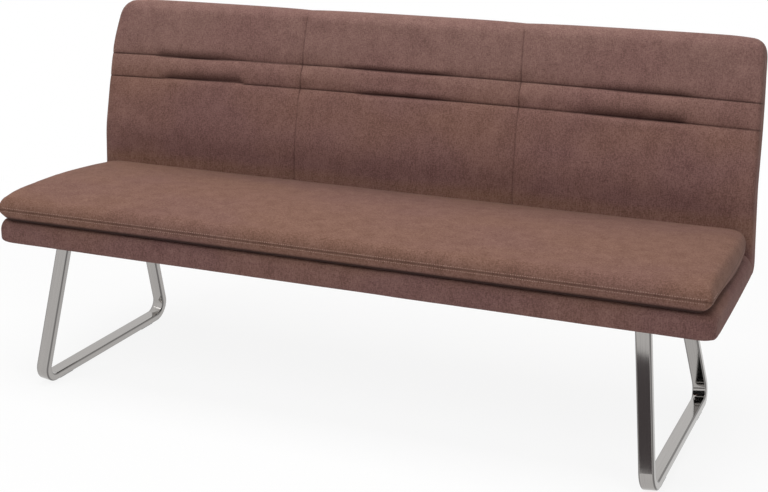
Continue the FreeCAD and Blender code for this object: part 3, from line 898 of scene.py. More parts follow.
@dataclass(frozen=True)
class Gape:
    """Stretch of a pleat that hangs open.

    It runs from start to end along the bench, and opens over lead and closes over trail. The fold is depth
    deep, the cloth above it rolls in over roll, and its line lifts by rise.
    """

    start: float
    end: float
    lead: float
    trail: float
    depth: float
    roll: float
    rise: float = 0.0

    def share(self, x: float) -> float:
        """How far the pleat is open at a place along the bench."""
        return ease((x - self.start) / self.lead) * ease((self.end - x) / self.trail)


@dataclass(frozen=True)
class Pleat:
    """Fold sewn right across the back, with its open stretches."""

    run: float
    gapes: tuple[Gape, ...]
    sewn_depth: float = 0.0026
    sewn_width: float = 0.0016
    sewn_slack: float = 0.7
    pull_depth: float = 0.0016
    pull_width: float = 0.013
    wander: float = 0.0017
    line_width: float = 0.0015
    painted_line_shade: float = 0.84
    open_width: float = 0.5
    painted_open_shade: float = 0.16
    roll_power: float = 1.7
    roll_lip: float = 0.25
    roll_lip_at: float = 1.1
    roll_shade: float = 0.84
    roll_shade_run: float = 0.46
    under_run: float = 0.0028
    under_lip: float = 0.10
    under_lip_at: float = 0.014
    under_lip_reach: float = 0.010
    under_shade: float = 0.86
    under_shade_run: float = 0.0010

    def relief(self, x: float, run: float) -> tuple[float, float]:
        """Height and painted shade that the pleat gives a point of the front.

        Args:
            x: place along the bench.
            run: length up the front line.

        Returns:
            Height, which is negative in the fold, and the shade painted on its sewn line and in its open
            fold.
        """
        share, gape = max(((gape.share(x), gape) for gape in self.gapes), key=lambda pair: pair[0])
        stray = self.wander * noise.noise(Vector((7.0 * x, 9.0 * self.run, 0.5)))
        above = run - self.run - stray - share * gape.rise
        sewn = self.sewn_depth * bell(above, self.sewn_width) + self.pull_depth * bell(above, self.pull_width)
        # Painted shade in the open fold: above the line it fades up the rolled cloth, below it down the cloth
        # beneath.
        if above >= 0.0:
            fold = 1.0 - swells(above, gape.roll, self.roll_power)
            lip = self.roll_lip * bell(above - self.roll_lip_at * gape.roll, gape.roll)
            shade = self.roll_shade * math.exp(-above / (self.roll_shade_run * gape.roll))
        else:
            fold = math.exp(above / self.under_run)
            lip = self.under_lip * bell(above + self.under_lip_at, self.under_lip_reach)
            shade = self.under_shade * math.exp(above / self.under_shade_run)
        height = gape.depth * share * (lip - fold) - sewn * (1.0 - self.sewn_slack * share)
        # Painted shade of the sewn line, wider and darker where the pleat hangs open.
        line_width = self.line_width * (1.0 + self.open_width * share)
        line = (self.painted_line_shade + self.painted_open_shade * share) * bell(above, line_width)
        return height, max(line, shade * share)


@dataclass
class Backrest:
    """Bent upholstered back that narrows upwards, sewn from three panels with two pleats across them."""

    half_length: float = 0.896
    narrowing: float = 0.019
    thickness: float = 0.060
    top_round: float = 0.025
    left_corner_round: float = 0.028
    right_corner_round: float = 0.029
    corner_sag: float = 0.005
    belly: float = 0.0026
    belly_at: float = 0.62
    belly_reach: float = 0.30
    left_draw: float = 0.0220
    draw_reach: float = 0.14
    draw_power: float = 1.5
    drop: float = 0.0580
    foot_round: float = 0.026
    sag_reach: float = 0.10
    front_edge_round: float = 0.012
    rear_edge_round: float = 0.010
    edge_run: float = 0.03
    seam_x: float = 0.304
    seam_wander: float = 0.0007
    seam_depth: float = 0.0022
    seam_width: float = 0.0018
    seam_pull: float = 0.0024
    seam_pull_width: float = 0.018
    seam_line: float = 0.0012
    # Painted shade along the panel seams, darker near the pleats.
    painted_seam_shade: float = 0.30
    pleat_reach: float = 0.022
    pleat_pull: float = 0.0052
    painted_pleat_shade: float = 0.46
    pleat_tuck: float = 0.0034
    pleat_tuck_at: float = 0.014
    pleat_tuck_reach: float = 0.012
    pleat_lower: float = 0.1421
    pleat_spacing: float = 0.0622
    pleat_arch: float = 0.0084
    puff_lower: float = 0.0042
    puff_strip: float = 0.0038
    puff_top: float = 0.0050
    puff_run: float = 0.028
    puff_side_run: float = 0.045
    strip_tightness: float = 1.6
    settle_rise: float = 0.05
    crown: float = 0.0030
    crown_run: float = 0.07
    seam_dip: float = 0.0010
    rear_puff: float = 0.004
    rear_puff_run: float = 0.12
    rail_room: float = 0.0092
    rail_room_reach: float = 0.06
    rail_room_drop: float = 0.14
    rail_room_run: float = 0.10
    turn_steps: int = 6
    end_steps: int = 8

    def __post_init__(self) -> None:
        """Set the back on the seat base, behind the cushion."""
        self.bend = BackBend(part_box("back_cover_middle")[0])
        self.height = self.bend.above_corner(self.bend.upper_length)
        lower = self.bend.above_corner(self.pleat_lower)
        self.pleats = (
            Pleat(
                lower,
                (
                    Gape(-0.755, -0.462, 0.075, 0.030, 0.0095, 0.019, 0.0050),
                    Gape(-0.160, 0.165, 0.070, 0.110, 0.0080, 0.010),
                    Gape(0.400, 0.735, 0.150, 0.030, 0.0105, 0.024),
                ),
            ),
            Pleat(
                lower + self.pleat_spacing,
                (
                    Gape(-0.760, -0.450, 0.035, 0.130, 0.0085, 0.018, -0.0015),
                    Gape(-0.215, 0.160, 0.120, 0.080, 0.0066, 0.010),
                    Gape(0.430, 0.765, 0.170, 0.060, 0.0060, 0.015),
                ),
            ),
        )

    def seam_gap(self, x: float, run: float) -> float:
        """Distance along the bench from the nearer panel seam, which wanders a little."""
        wander = self.seam_wander * math.sin(23.0 * run + 4.0 * x)
        return abs(abs(x) - self.seam_x + wander)

    def arch(self, x: float, run: float) -> float:
        """Rise of the cloth's rows towards the middle of the bench, which is all there at the pleats.

        Args:
            x: place along the bench.
            run: length up the front line.

        Returns:
            The rise.
        """
        lower, upper = (pleat.run for pleat in self.pleats)
        span = 1.0 - (x / self.half_length) ** 2
        return self.pleat_arch * span * ease(run / lower) * ease((self.height - run) / (self.height - upper))

    def puff(self, x: float, run: float, inset: float) -> float:
        """Height of the padding between seams, pleats and edges.

        Args:
            x: place along the bench.
            run: length up the front line.
            inset: distance from the end of the back.

        Returns:
            The height.
        """
        lower, upper = (pleat.run for pleat in self.pleats)
        if run < lower:
            height, gap = self.puff_lower, lower - run
        elif run < upper:
            height, gap = self.puff_strip, min(run - lower, upper - run) * self.strip_tightness
        else:
            height, gap = self.puff_top, run - upper
        side = min(self.seam_gap(x, run), inset)
        uneven = 0.8 + 0.5 * noise.noise(Vector((5.0 * x, 0.0, 7.0 * run)))
        sides = 1.0 - math.exp(-side / self.puff_side_run)
        return height * uneven * (1.0 - math.exp(-gap / self.puff_run)) * sides

    def relief(self, x: float, run: float, inset: float) -> tuple[float, float]:
        """Height and painted shade of a point of the front face.

        Args:
            x: place along the bench.
            run: length up the front line.
            inset: distance from the end of the back.

        Returns:
            Height in front of the plain face, and shade painted on the seams and pleats.
        """
        gap = self.seam_gap(x, run)
        folds = [pleat.relief(x, run) for pleat in self.pleats]
        near_pleat = max(bell(run - pleat.run, self.pleat_reach) for pleat in self.pleats)
        offset = min(x + self.seam_x, x - self.seam_x, key=abs)
        pull = self.seam_pull + self.pleat_pull * near_pleat
        seam = self.seam_depth * bell(gap, self.seam_width) + pull * bell(gap, self.seam_pull_width)
        seam += self.pleat_tuck * near_pleat * bell(offset - self.pleat_tuck_at, self.pleat_tuck_reach)
        height = self.puff(x, run, inset) + sum(fold for fold, _ in folds) - seam
        # Painted shade along the panel seams, darker near the pleats.
        line = (self.painted_seam_shade + self.painted_pleat_shade * near_pleat) * bell(gap, self.seam_line)
        return height, min(max(line, *(shade for _, shade in folds)), 1.0)

    def ring(self, x: float, inset: float, runs: Sequence[float], turns: Sequence[float]) -> Ring:
        """Outline of the back at one place along the bench.

        Args:
            x: place along the bench at the seat.
            inset: distance from the end.
            runs: rows up the front and rear faces.
            turns: angles round each top edge.

        Returns:
            The ring, up the front and down the rear.
        """
        front = falls_back(inset, self.front_edge_round)
        rear = self.thickness - falls_back(inset, self.rear_edge_round)
        top_round = min(self.top_round, (rear - front) / 2 - LEAST_THICKNESS)
        sag = self.corner_sag * max(1.0 - inset / self.sag_reach, 0.0) ** 2
        corner_round = self.left_corner_round if x < 0.0 else self.right_corner_round
        top = self.height - falls_back(inset, corner_round) - sag
        settled = self.pleats[1].run + self.settle_rise
        stretch = (top - top_round - settled) / (runs[-1] - settled)
        weight = ease(inset / self.edge_run)
        room = self.rail_room * bell(inset, self.rail_room_reach) if x < 0.0 else 0.0
        front_half, rear_half = [], []
        for run in runs:
            level = run if run < settled else settled + (run - settled) * stretch
            height, darkness = self.relief(x, run, inset)
            up = level + self.arch(x, run)
            wide = self.across(x, up)
            nick = min(height, 0.0) * (1.0 - weight) * math.copysign(0.5, x)
            front_half.append(Mark(self.bend.point(wide + nick, up, front - height * weight), darkness))
            back = self.rear_puff
            for edge_gap in (inset, up, top - up):
                back *= ease(edge_gap / self.rear_puff_run)
            raised = room * ease((up - top + self.rail_room_drop) / self.rail_room_run)
            back += raised - falls_back(up + self.drop, self.foot_round)
            rear_half.append(Mark(self.bend.point(wide, up, rear + back)))
        side = min(self.seam_gap(x, top), inset)
        crown = (self.crown * (1.0 - math.exp(-side / self.crown_run)) - self.seam_dip) * weight
        for turn in turns:
            up = top - top_round + (top_round + crown * math.sin(turn)) * math.sin(turn)
            lead = front + top_round * (1.0 - math.cos(turn)) - crown * math.cos(turn)
            trail = rear + room - top_round * (1.0 - math.cos(turn))
            wide = self.across(x, up)
            front_half.append(Mark(self.bend.point(wide, up, lead)))
            rear_half.append(Mark(self.bend.point(wide, up, trail)))
        return front_half + rear_half[::-1]

    def across(self, x: float, run: float) -> float:
        """Place along the bench of a point of the back, which narrows upwards.

        Args:
            x: the point's place at the seat.
            run: length up the front line.

        Returns:
            The place at the run.
        """
        full = self.belly * bell(run / self.height - self.belly_at, self.belly_reach)
        inward = self.narrowing * run / self.height - full
        if x < 0.0:
            near_top = max(1.0 - (self.height - run) / self.draw_reach, 0.0)
            inward += self.left_draw * near_top**self.draw_power
        return x * (1.0 - inward / self.half_length)

    def build(self) -> bpy.types.Object:
        """Build the padded back.

        Returns:
            The back as one closed piece.
        """
        near = (-self.drop, *(pleat.run for pleat in self.pleats))
        last_row = self.height - self.top_round
        runs = paced(-self.drop, last_row, coarse=0.011, fine=0.0013, near=near, reach=0.035)
        turns = [math.pi / 2 * step / self.turn_steps for step in range(1, self.turn_steps + 1)]
        ends = arc_insets(self.front_edge_round, self.end_steps)
        half = self.half_length - self.front_edge_round
        seams = (-self.seam_x, self.seam_x)
        middle = paced(-half, half, coarse=0.0085, fine=0.0011, near=seams, reach=0.030)[1:-1]
        places = both_ends(self.half_length, ends, middle)
        rings = [self.ring(x, self.half_length - abs(x), runs, turns) for x in places]
        return make_piece("backrest", loft(capped(rings)), SuedeCloth())

    def dress(self, back: bpy.types.Object) -> None:
        """Hide the CAD solids that the padded back stands in for.

        Args:
            back: the padded back, which is not used.
        """
        panels = ("back_cover_left", "back_cover_middle", "back_cover_right", "back_cover_rear")
        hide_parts(*panels, "back_foam")


@dataclass
class SeatCushion:
    """Long loose seat cushion with a crowned top, an upright border and a double-stitched seam."""

    front_round: float = 0.007
    rear_round: float = 0.058
    nose_run: float = 0.020
    end_nose_run: float = 0.016
    nose_power: float = 2.2
    crown_run: float = 0.100
    end_crown_run: float = 0.035
    crown_share: float = 0.36
    end_crown_share: float = 0.25
    rear_run: float = 0.28
    rear_share: float = 0.56
    rear_power: float = 1.6
    tuck_run: float = 0.017
    tuck_power: float = 2.1
    end_tuck_run: float = 0.034
    end_tuck_power: float = 1.7
    droop_start: float = 0.40
    droop_run: float = 0.30
    droop_round: float = 0.040
    droop_share: float = 0.85
    end_trim: float = 0.002
    bow: float = 0.0025
    bow_run: float = 0.5
    taper: float = 0.017
    taper_start: float = -0.08
    taper_run: float = 0.30
    swell_room: float = 0.002
    swell_spare: float = 0.002
    seam_line: float = 0.0017
    # Painted shade along the sewn seam.
    painted_seam_shade: float = 0.46
    # Painted shadow on the cushion's underside, in the gap over the base.
    painted_gap_shadow: float = 0.95
    painted_gap_shadow_drop: float = 0.018
    painted_gap_shadow_run: float = 0.006
    # Painted shade on the seat's top towards the rear, under the back, fainter at the ends.
    painted_rear_shade_darkness: float = 0.46
    painted_rear_shade_run: float = 0.28
    painted_rear_shade_end_share: float = 0.4
    painted_rear_shade_end_run: float = 0.45
    firm_run: float = 0.022
    rear_hold: float = 0.004
    seam_rows: tuple[float, ...] = (0.00003, 0.00014, 0.00036, 0.00070)
    pucker: float = 0.0007
    pucker_cells: float = 55.0
    pucker_at: float = 0.008
    pucker_reach: float = 0.010
    pucker_start: float = 0.006
    stitch_offset: float = 0.0045
    stitch_corner: float = 0.02
    stitch_steps: tuple[float, ...] = (0.03, 0.04, 0.05, 0.06)

    def __post_init__(self) -> None:
        """Take the cushion's reach, seam and crown from its covers."""
        low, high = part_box("seat_cushion_top_cover")
        self.half_length = high.x - self.end_trim
        self.front, self.rear = low.y, high.y
        self.seam, self.crown = low.z, high.z
        self.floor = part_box("seat_cushion_border")[0].z

    def edges(self, inset: float) -> tuple[float, float]:
        """Front and rear edge of the cushion.

        Args:
            inset: distance from the end.

        Returns:
            The places of the two edges.
        """
        bowed = self.bow * ease(inset / self.bow_run)
        return (
            self.front + falls_back(inset, self.front_round) + bowed,
            self.rear - falls_back(inset, self.rear_round),
        )

    def width(self, y: float) -> float:
        """Share of its length that the cushion has at a place from front to rear, where it narrows."""
        share = min(max((y - self.taper_start) / self.taper_run, 0.0), 1.0)
        return 1.0 - self.taper * share * share

    def top(self, front_gap: float, rear_gap: float, inset: float) -> float:
        """Height of the top cover.

        Args:
            front_gap: distance from the front seam.
            rear_gap: distance from the rear edge.
            inset: distance from the end.

        Returns:
            The height above the floor.
        """
        share = self.nose(front_gap, self.nose_run, self.crown_run, self.crown_share)
        share *= self.nose(inset, self.end_nose_run, self.end_crown_run, self.end_crown_share)
        slope = (1.0 - min(rear_gap / self.rear_run, 1.0)) ** self.rear_power
        share *= self.rear_share + (1.0 - self.rear_share) * (1.0 - slope)
        return self.seam + (self.crown - self.swell_room - self.seam) * share

    def nose(self, gap: float, steep_run: float, slow_run: float, slow: float) -> float:
        """Share of the crown at a distance from a seam: a full nose, then a slow rise for its own share."""
        left = 1.0 - min(gap / slow_run, 1.0)
        return (1.0 - slow) * swells(gap, steep_run, self.nose_power) + slow * (1.0 - left * left)

    def under(self, front_gap: float, rear_gap: float, inset: float) -> float:
        """Height of the border and underside, which droop over the base towards the rear of each end.

        Args:
            front_gap: distance from the front seam.
            rear_gap: distance from the rear edge.
            inset: distance from the end.

        Returns:
            The height above the floor.
        """
        droop = ease((self.droop_start - rear_gap) / self.droop_run)
        end_run = self.end_tuck_run + (self.tuck_run - self.end_tuck_run) * droop
        share = swells(front_gap, self.tuck_run, self.tuck_power)
        share *= swells(inset, end_run, self.end_tuck_power)
        floor = self.floor - self.droop_share * droop * falls_back(inset, self.droop_round)
        return self.seam - (self.seam - floor) * share

    def ring(self, x: float, inset: float, shares: Sequence[float]) -> Ring:
        """Outline of the cushion at one place along the bench.

        Args:
            x: place along the bench.
            inset: distance from the end.
            shares: rows from the front seam to the rear edge.

        Returns:
            The ring, back over the top and forward underneath.
        """
        front, rear = self.edges(inset)
        upper, lower = [], []
        for share in shares:
            y = front + (rear - front) * share
            gap = min(y - front, inset)
            at_rear = rear - y < self.rear_hold
            ripple = noise.noise(Vector((self.pucker_cells * x, self.pucker_cells * y, 0.0)))
            pull = self.pucker * ripple * bell(gap - self.pucker_at, self.pucker_reach)
            pull *= ease(gap / self.pucker_start)
            wide = x * self.width(y)
            high = Vector((wide, y, self.top(y - front, rear - y, inset) + pull))
            deep = Vector((wide, y, self.under(y - front, rear - y, inset)))
            firm = 1.0 if at_rear else bell(gap, self.firm_run)
            # Painted shadow: the underside darkens where it drops into the gap over the base.
            painted_gap_shadow = self.painted_gap_shadow * ease((self.seam - deep.z - self.painted_gap_shadow_drop) / self.painted_gap_shadow_run)
            # Painted shade: the top darkens towards the rear under the back, less so at the ends.
            painted_rear_shade = self.painted_rear_shade_darkness * max(1.0 - (rear - y) / self.painted_rear_shade_run, 0.0) ** 2
            painted_rear_shade *= self.painted_rear_shade_end_share + (1.0 - self.painted_rear_shade_end_share) * ease(inset / self.painted_rear_shade_end_run)
            upper.append(Mark(high, self.seam_shade(high.z) + painted_rear_shade, firm))
            lower.append(Mark(deep, self.seam_shade(deep.z) + painted_gap_shadow, 1.0 if gap > self.tuck_run else firm))
        return upper + lower[::-1]

    def seam_shade(self, height: float) -> float:
        """Painted shade of the sewn line at a height."""
        return self.painted_seam_shade * bell(height - self.seam, self.seam_line)

    def build(self) -> bpy.types.Object:
        """Build the cushion and fill it.

        Returns:
            The filled cushion.
        """
        depth = self.rear - self.front
        rows = paced(0.0, depth, coarse=0.012, fine=0.0012, near=(0.0, depth), reach=0.06)
        shares = [row / depth for row in (0.0, *self.seam_rows, *rows[1:])]
        half = self.half_length
        middle = paced(-half, half, coarse=0.009, fine=0.0012, near=(-half, half), reach=0.06)[1:-1]
        places = both_ends(half, (0.0, *self.seam_rows), middle)
        rings = [self.ring(x, half - abs(x), shares) for x in places]
        cushion = make_piece("seat_cushion", loft(rings), SuedeCloth())
        Filling(cap=self.swell_room + self.swell_spare).swell(cushion)
        return cushion

    def stitch_rows(self) -> list[list[Vector]]:
        """Lines of the double stitching, just above and just below the seam.

        Returns:
            Two rows that run from one end along the front to the other.
        """
        rows = []
        for height in (self.seam + self.stitch_offset, self.seam - self.stitch_offset):
            spots = [self.front + step for step in self.stitch_steps]
            end = [Vector((self.half_length * self.width(y), y, height)) for y in spots]
            front, _ = self.edges(self.stitch_corner)
            half = [Vector((self.half_length - self.stitch_corner, front, height)), *end]
            flipped = [Vector((-place.x, place.y, place.z)) for place in half]
            rows.append(flipped[::-1] + half)
        return rows

    def dress(self, cushion: bpy.types.Object) -> None:
        """Sew the cushion's seam and hide the CAD solids that it stands in for.

        Args:
            cushion: the filled cushion.
        """
        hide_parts("seat_cushion_top_cover", "seat_cushion_border", "seat_cushion_foam")
        Stitching().sew("seat_cushion_stitching", cushion, self.stitch_rows())


@dataclass
class SeatBase:
    """Upholstered base of the seat, soft at every edge."""

    top_round: float = 0.022
    bottom_round: float = 0.010
    end_top_round: float = 0.022
    rear_end_round: float = 0.040
    end_bottom_round: float = 0.006
    corner_round: float = 0.018
    rear_round: float = 0.004
    drop_start: float = 0.40
    drop_run: float = 0.30
    under_back: float = 0.010
    fullness: float = 0.0035
    end_flare: float = 0.0020
    end_taper: float = 0.0068
    corner_lift: float = 0.005
    lift_end_reach: float = 0.018
    lift_front_reach: float = 0.022
    waviness: float = 0.0016
    wave_reach: float = 0.12
    turn_edge: float = 0.004
    lining_room: float = 0.002
    # Painted shadow on the base's top under the cushion, behind its front edge and away from its ends.
    painted_gap_shadow: float = 0.9
    painted_gap_shadow_end: float = 0.03
    painted_gap_shadow_end_run: float = 0.02
    painted_gap_shadow_front: float = 0.013
    painted_gap_shadow_front_run: float = 0.008
    turn_steps: int = 8
    end_steps: int = 16
    middle_steps: int = 190

    def __post_init__(self) -> None:
        """Take the base's box from its cover, which bulges at the front, the ends and the underside."""
        self.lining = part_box("seat_dust_cloth")
        self.low, self.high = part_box("seat_base_cover")
        self.low -= Vector((self.fullness, self.fullness, self.fullness))
        self.high.x += self.fullness
        self.high.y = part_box("back_cover_middle")[0].y + self.under_back

    def ring(self, x: float, inset: float, rows: Sequence[float], turns: Sequence[float]) -> Ring:
        """Outline of the base at one place along the bench.

        Args:
            x: place along the bench.
            inset: distance from the end.
            rows: shares of the flat run from front to rear.
            turns: angles round each rounded edge.

        Returns:
            The ring, back over the top and forward underneath.
        """
        front = self.low.y + falls_back(inset, self.corner_round)
        rear = self.high.y - falls_back(inset, self.rear_round)
        upper = self.half_ring(x, inset, (front, rear), True, rows, turns)
        lower = self.half_ring(x, inset, (front, rear), False, rows, turns)
        return upper + lower[::-1]

    def level(self, y: float, inset: float, upper: bool) -> float:
        """Height of the top or the underside, which drops at the ends, and more so towards the back.

        Args:
            y: place from front to rear.
            inset: distance from the end.
            upper: whether the top is asked for.

        Returns:
            The height.
        """
        if not upper:
            lift = self.corner_lift * bell(inset, self.lift_end_reach)
            lift *= bell(y - self.low.y, self.lift_front_reach)
            edge = self.low.z + falls_back(inset, self.end_bottom_round) + lift
            within = min(y - self.lining[0].y, inset - self.high.x + self.lining[1].x)
            return edge + (self.lining[1].z + self.lining_room - edge) * ease(within / self.turn_edge)
        share = ease((y - self.high.y + self.drop_start) / self.drop_run)
        radius = self.end_top_round + (self.rear_end_round - self.end_top_round) * share
        return self.high.z - falls_back(inset, radius)

    def half_ring(
        self,
        x: float,
        inset: float,
        reach: tuple[float, float],
        upper: bool,
        rows: Sequence[float],
        turns: Sequence[float],
    ) -> Ring:
        """Upper or lower half of an outline, from front to rear.

        Args:
            x: place along the bench.
            inset: distance from the end.
            reach: front and rear face.
            upper: whether this is the upper half.
            rows: shares of the flat run.
            turns: angles round each rounded edge.

        Returns:
            Half of the ring.
        """
        front, rear = reach
        thin = (self.level(front, inset, True) - self.level(front, inset, False)) / 2 - LEAST_THICKNESS
        size = min(self.top_round if upper else self.bottom_round, thin)
        drop = -size if upper else size
        # Painted shadow on the top, where the cushion covers the base.
        painted_gap_shadow = self.painted_gap_shadow * ease((inset - self.painted_gap_shadow_end) / self.painted_gap_shadow_end_run) if upper else 0.0
        spots = [(front + size * (1 - math.sin(turn)), turn) for turn in turns]
        spots += [(front + size + (rear - front - 2 * size) * row, 0.0) for row in rows]
        spots += [(rear - size * (1 - math.sin(turn)), turn) for turn in reversed(turns)]
        half = []
        for y, turn in spots:
            z = self.level(y, inset, upper) + drop * (1 - math.cos(turn))
            shade = painted_gap_shadow * ease((y - front - self.painted_gap_shadow_front) / self.painted_gap_shadow_front_run)
            half.append(Mark(Vector((x, y, z)), shade))
        return half

    def build(self) -> bpy.types.Object:
        """Build the padded base, with the slight waves of stretched cloth.

        Returns:
            The base as one closed piece.
        """
        turns = [math.pi / 2 * (1 - step / self.turn_steps) for step in range(self.turn_steps)]
        depth = self.high.y - self.low.y
        turn = self.lining[0].y - self.low.y
        near = (turn, turn + self.turn_edge)
        rows = paced(0.0, depth, coarse=0.014, fine=0.0013, near=near, reach=0.010)[1:-1]
        rows = [row / depth for row in rows]
        half = self.high.x
        ends = arc_insets(self.rear_end_round, self.end_steps)
        reach = half - self.rear_end_round
        middle = [-reach + 2 * reach * step / self.middle_steps for step in range(1, self.middle_steps)]
        rings = [self.ring(x, half - abs(x), rows, turns) for x in both_ends(half, ends, middle)]
        bm = loft(capped(rings))
        bm.normal_update()
        for vert in bm.verts:
            share = ((vert.co.y - self.low.y) / (self.high.y - self.low.y)) ** 2
            vert.co.x *= 1.0 + self.end_flare - self.end_taper * share
            wave = noise.noise(vert.co * 9.0) + 0.5 * noise.noise(vert.co * 24.0)
            wave *= ease((self.wave_reach + self.low.y - vert.co.y) / self.wave_reach + 0.25)
            wave *= ease(1.25 + vert.normal.z)
            vert.co += vert.normal * self.waviness * wave
        return make_piece("seat_base", bm, SuedeCloth())

    def dress(self, base: bpy.types.Object) -> None:
        """Hide the CAD solids that the padded base stands in for."""
        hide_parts("seat_base_cover", "seat_base_foam")


@dataclass
class Skid:
    """Trapezoid of bent rectangular tube that leans outwards and carries one end of the seat."""

    side: Side
    width: float = 0.035
    depth: float = 0.020
    edge_round: float = 0.0042
    edge_steps: int = 5
    bend_radius: float = 0.045
    splay: float = math.radians(7.35)
    front_setback: float = 0.041
    front_reach: float = 0.037
    rear_top: float = 0.4200
    rear_foot: float = 0.5710
    top_height: float = 0.3688
    runner_x: float = 0.7902
    runner_z: float = 0.00424
    spare: float = 0.02
    bend_steps: int = 18
    sharp: float = math.radians(40.0)

    @property
    def name(self) -> str:
        """Name of the CAD tube that the skid stands for."""
        return f"skid_tube_{self.side.name.lower()}"

    def corners(self) -> list[Vector]:
        """Corners of the tube's outer line in its own plane, from the front leg's top to the rear leg's."""
        return [
            Vector((0.0, self.front_setback, self.top_height)),
            Vector((0.0, -self.front_reach, 0.0)),
            Vector((0.0, self.rear_foot, 0.0)),
            Vector((0.0, self.rear_top, self.top_height)),
        ]

    def section(self, bm: bmesh.types.BMesh, start: Vector, inward: Vector) -> Edges:
        """Make the tube's rounded section at the start of its run.

        Args:
            bm: mesh that takes it.
            start: point on the outer line.
            inward: direction into the trapezoid.

        Returns:
            The section's edges.
        """
        bmesh.ops.create_grid(bm, x_segments=1, y_segments=1, size=0.5)
        bmesh.ops.scale(bm, vec=(self.width, self.depth, 1.0), verts=bm.verts)
        bmesh.ops.translate(bm, vec=(0.0, self.depth / 2, 0.0), verts=bm.verts)
        bmesh.ops.bevel(
            bm,
            geom=bm.verts[:],
            offset=self.edge_round,
            affect="VERTICES",
            segments=self.edge_steps,
            profile=0.5,
            material=-1,
        )
        around = bm.verts.layers.float.new("around")
        # The corner layer marks where a dark reflection is painted on the rounded corners.
        corner = bm.verts.layers.float.new("corner")
        bm.verts.layers.float.new("run")
        for vert in bm.verts:
            vert[around] = vert.co.x + 3.0 * vert.co.y
            beside = max(abs(vert.co.x) - self.width / 2 + self.edge_round, 0.0)
            beyond = max(abs(vert.co.y - self.depth / 2) - self.depth / 2 + self.edge_round, 0.0)
            vert[corner] = 2.0 * beside * beyond / self.edge_round**2
            vert.co = start + inward * vert.co.y + Vector((vert.co.x, 0.0, 0.0))
        edges = bm.edges[:]
        bmesh.ops.delete(bm, geom=bm.faces[:], context="FACES_ONLY")
        return edges

    def straight(self, bm: bmesh.types.BMesh, edges: Edges, way: Vector) -> Edges:
        """Draw the tube out along a straight.

        Args:
            bm: the mesh.
            edges: section to draw out.
            way: length and direction.

        Returns:
            The section at the far end.
        """
        run = bm.verts.layers.float["run"]
        made = bmesh.ops.extrude_edge_only(bm, edges=edges)["geom"]
        verts = [part for part in made if isinstance(part, bmesh.types.BMVert)]
        bmesh.ops.translate(bm, vec=way, verts=verts)
        for vert in verts:
            vert[run] += way.length
        lines = [part for part in made if isinstance(part, bmesh.types.BMEdge)]
        return [line for line in lines if all(vert in verts for vert in line.verts)]

    def bend(self, bm: bmesh.types.BMesh, edges: Edges, centre: Vector, angle: float) -> Edges:
        """Bend the tube round a centre.

        Args:
            bm: the mesh.
            edges: section to turn.
            centre: centre of the bend.
            angle: angle of the bend.

        Returns:
            The section at the far end.
        """
        run = bm.verts.layers.float["run"]
        before = set(bm.verts)
        verts = list({vert for edge in edges for vert in edge.verts})
        start = sum((vert.co for vert in verts), Vector()) / len(verts) - centre
        made = bmesh.ops.spin(
            bm,
            geom=verts + edges,
            cent=centre,
            axis=(1.0, 0.0, 0.0),
            dvec=(0.0, 0.0, 0.0),
            angle=angle,
            steps=self.bend_steps,
            use_merge=False,
            use_duplicate=False,
        )["geom_last"]
        for vert in bm.verts:
            if vert not in before:
                turned = Vector((0.0, *(vert.co - centre).yz)).angle(Vector((0.0, *start.yz)))
                vert[run] += turned * self.bend_radius
        return [part for part in made if isinstance(part, bmesh.types.BMEdge)]

    def build(self) -> bpy.types.Object:
        """Sweep the tube down the front leg, along the floor and up the rear leg, then stand it.

        Returns:
            The tube.
        """
        corners = self.corners()
        ways = [(end - start).normalized() for start, end in zip(corners, corners[1:])]
        inwards = [Vector((0.0, -way.z, way.y)) for way in ways]
        turns = [before.angle(after) for before, after in zip(ways, ways[1:])]
        cuts = [self.bend_radius * math.tan(turn / 2) for turn in turns]
        lengths = [(end - start).length for start, end in zip(corners, corners[1:])]
        runs = (lengths[0] - cuts[0] + self.spare, lengths[1] - sum(cuts), lengths[2] - cuts[1] + self.spare)
        bm = bmesh.new()
        edges = self.section(bm, corners[0] - ways[0] * self.spare, inwards[0])
        for number, (way, run) in enumerate(zip(ways, runs)):
            edges = self.straight(bm, edges, way * run)
            if number < len(turns):
                centre = corners[number + 1] - way * cuts[number] + inwards[number] * self.bend_radius
                edges = self.bend(bm, edges, centre, turns[number])
        self.stand(bm)
        tube = make_piece(self.name.replace("_tube", ""), bm, BrushedSteel())
        tube.data.set_sharp_from_angle(angle=self.sharp)
        tube.modifiers.new("flat_faces", "WEIGHTED_NORMAL").keep_sharp = True
        return tube

    def stand(self, bm: bmesh.types.BMesh) -> None:
        """Lean the tube, set it under its plate, cut it level and close its ends.

        Args:
            bm: the tube's mesh, upright in its own plane.
        """
        seat_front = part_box("seat_base_cover")[0].y
        plate_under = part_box(self.name.replace("tube", "plate"))[0].z
        place = Matrix.Translation((self.runner_x, seat_front, self.runner_z))
        place = place @ Matrix.Rotation(-self.splay, 4, "Y")
        if self.side is Side.LEFT:
            place = Matrix.Scale(-1.0, 4, (1.0, 0.0, 0.0)) @ place
        bmesh.ops.transform(bm, matrix=place, verts=bm.verts)
        bmesh.ops.bisect_plane(
            bm,
            geom=bm.verts[:] + bm.edges[:] + bm.faces[:],
            plane_co=(0.0, 0.0, plate_under),
            plane_no=(0.0, 0.0, 1.0),
            clear_outer=True,
        )
        bmesh.ops.edgeloop_fill(bm, edges=[edge for edge in bm.edges if edge.is_boundary])
        bmesh.ops.remove_doubles(bm, verts=bm.verts, dist=MERGE)
        bmesh.ops.recalc_face_normals(bm, faces=bm.faces)

    def dress(self, tube: bpy.types.Object) -> None:
        """Hide the CAD tube that this tube stands in for."""
        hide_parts(self.name)


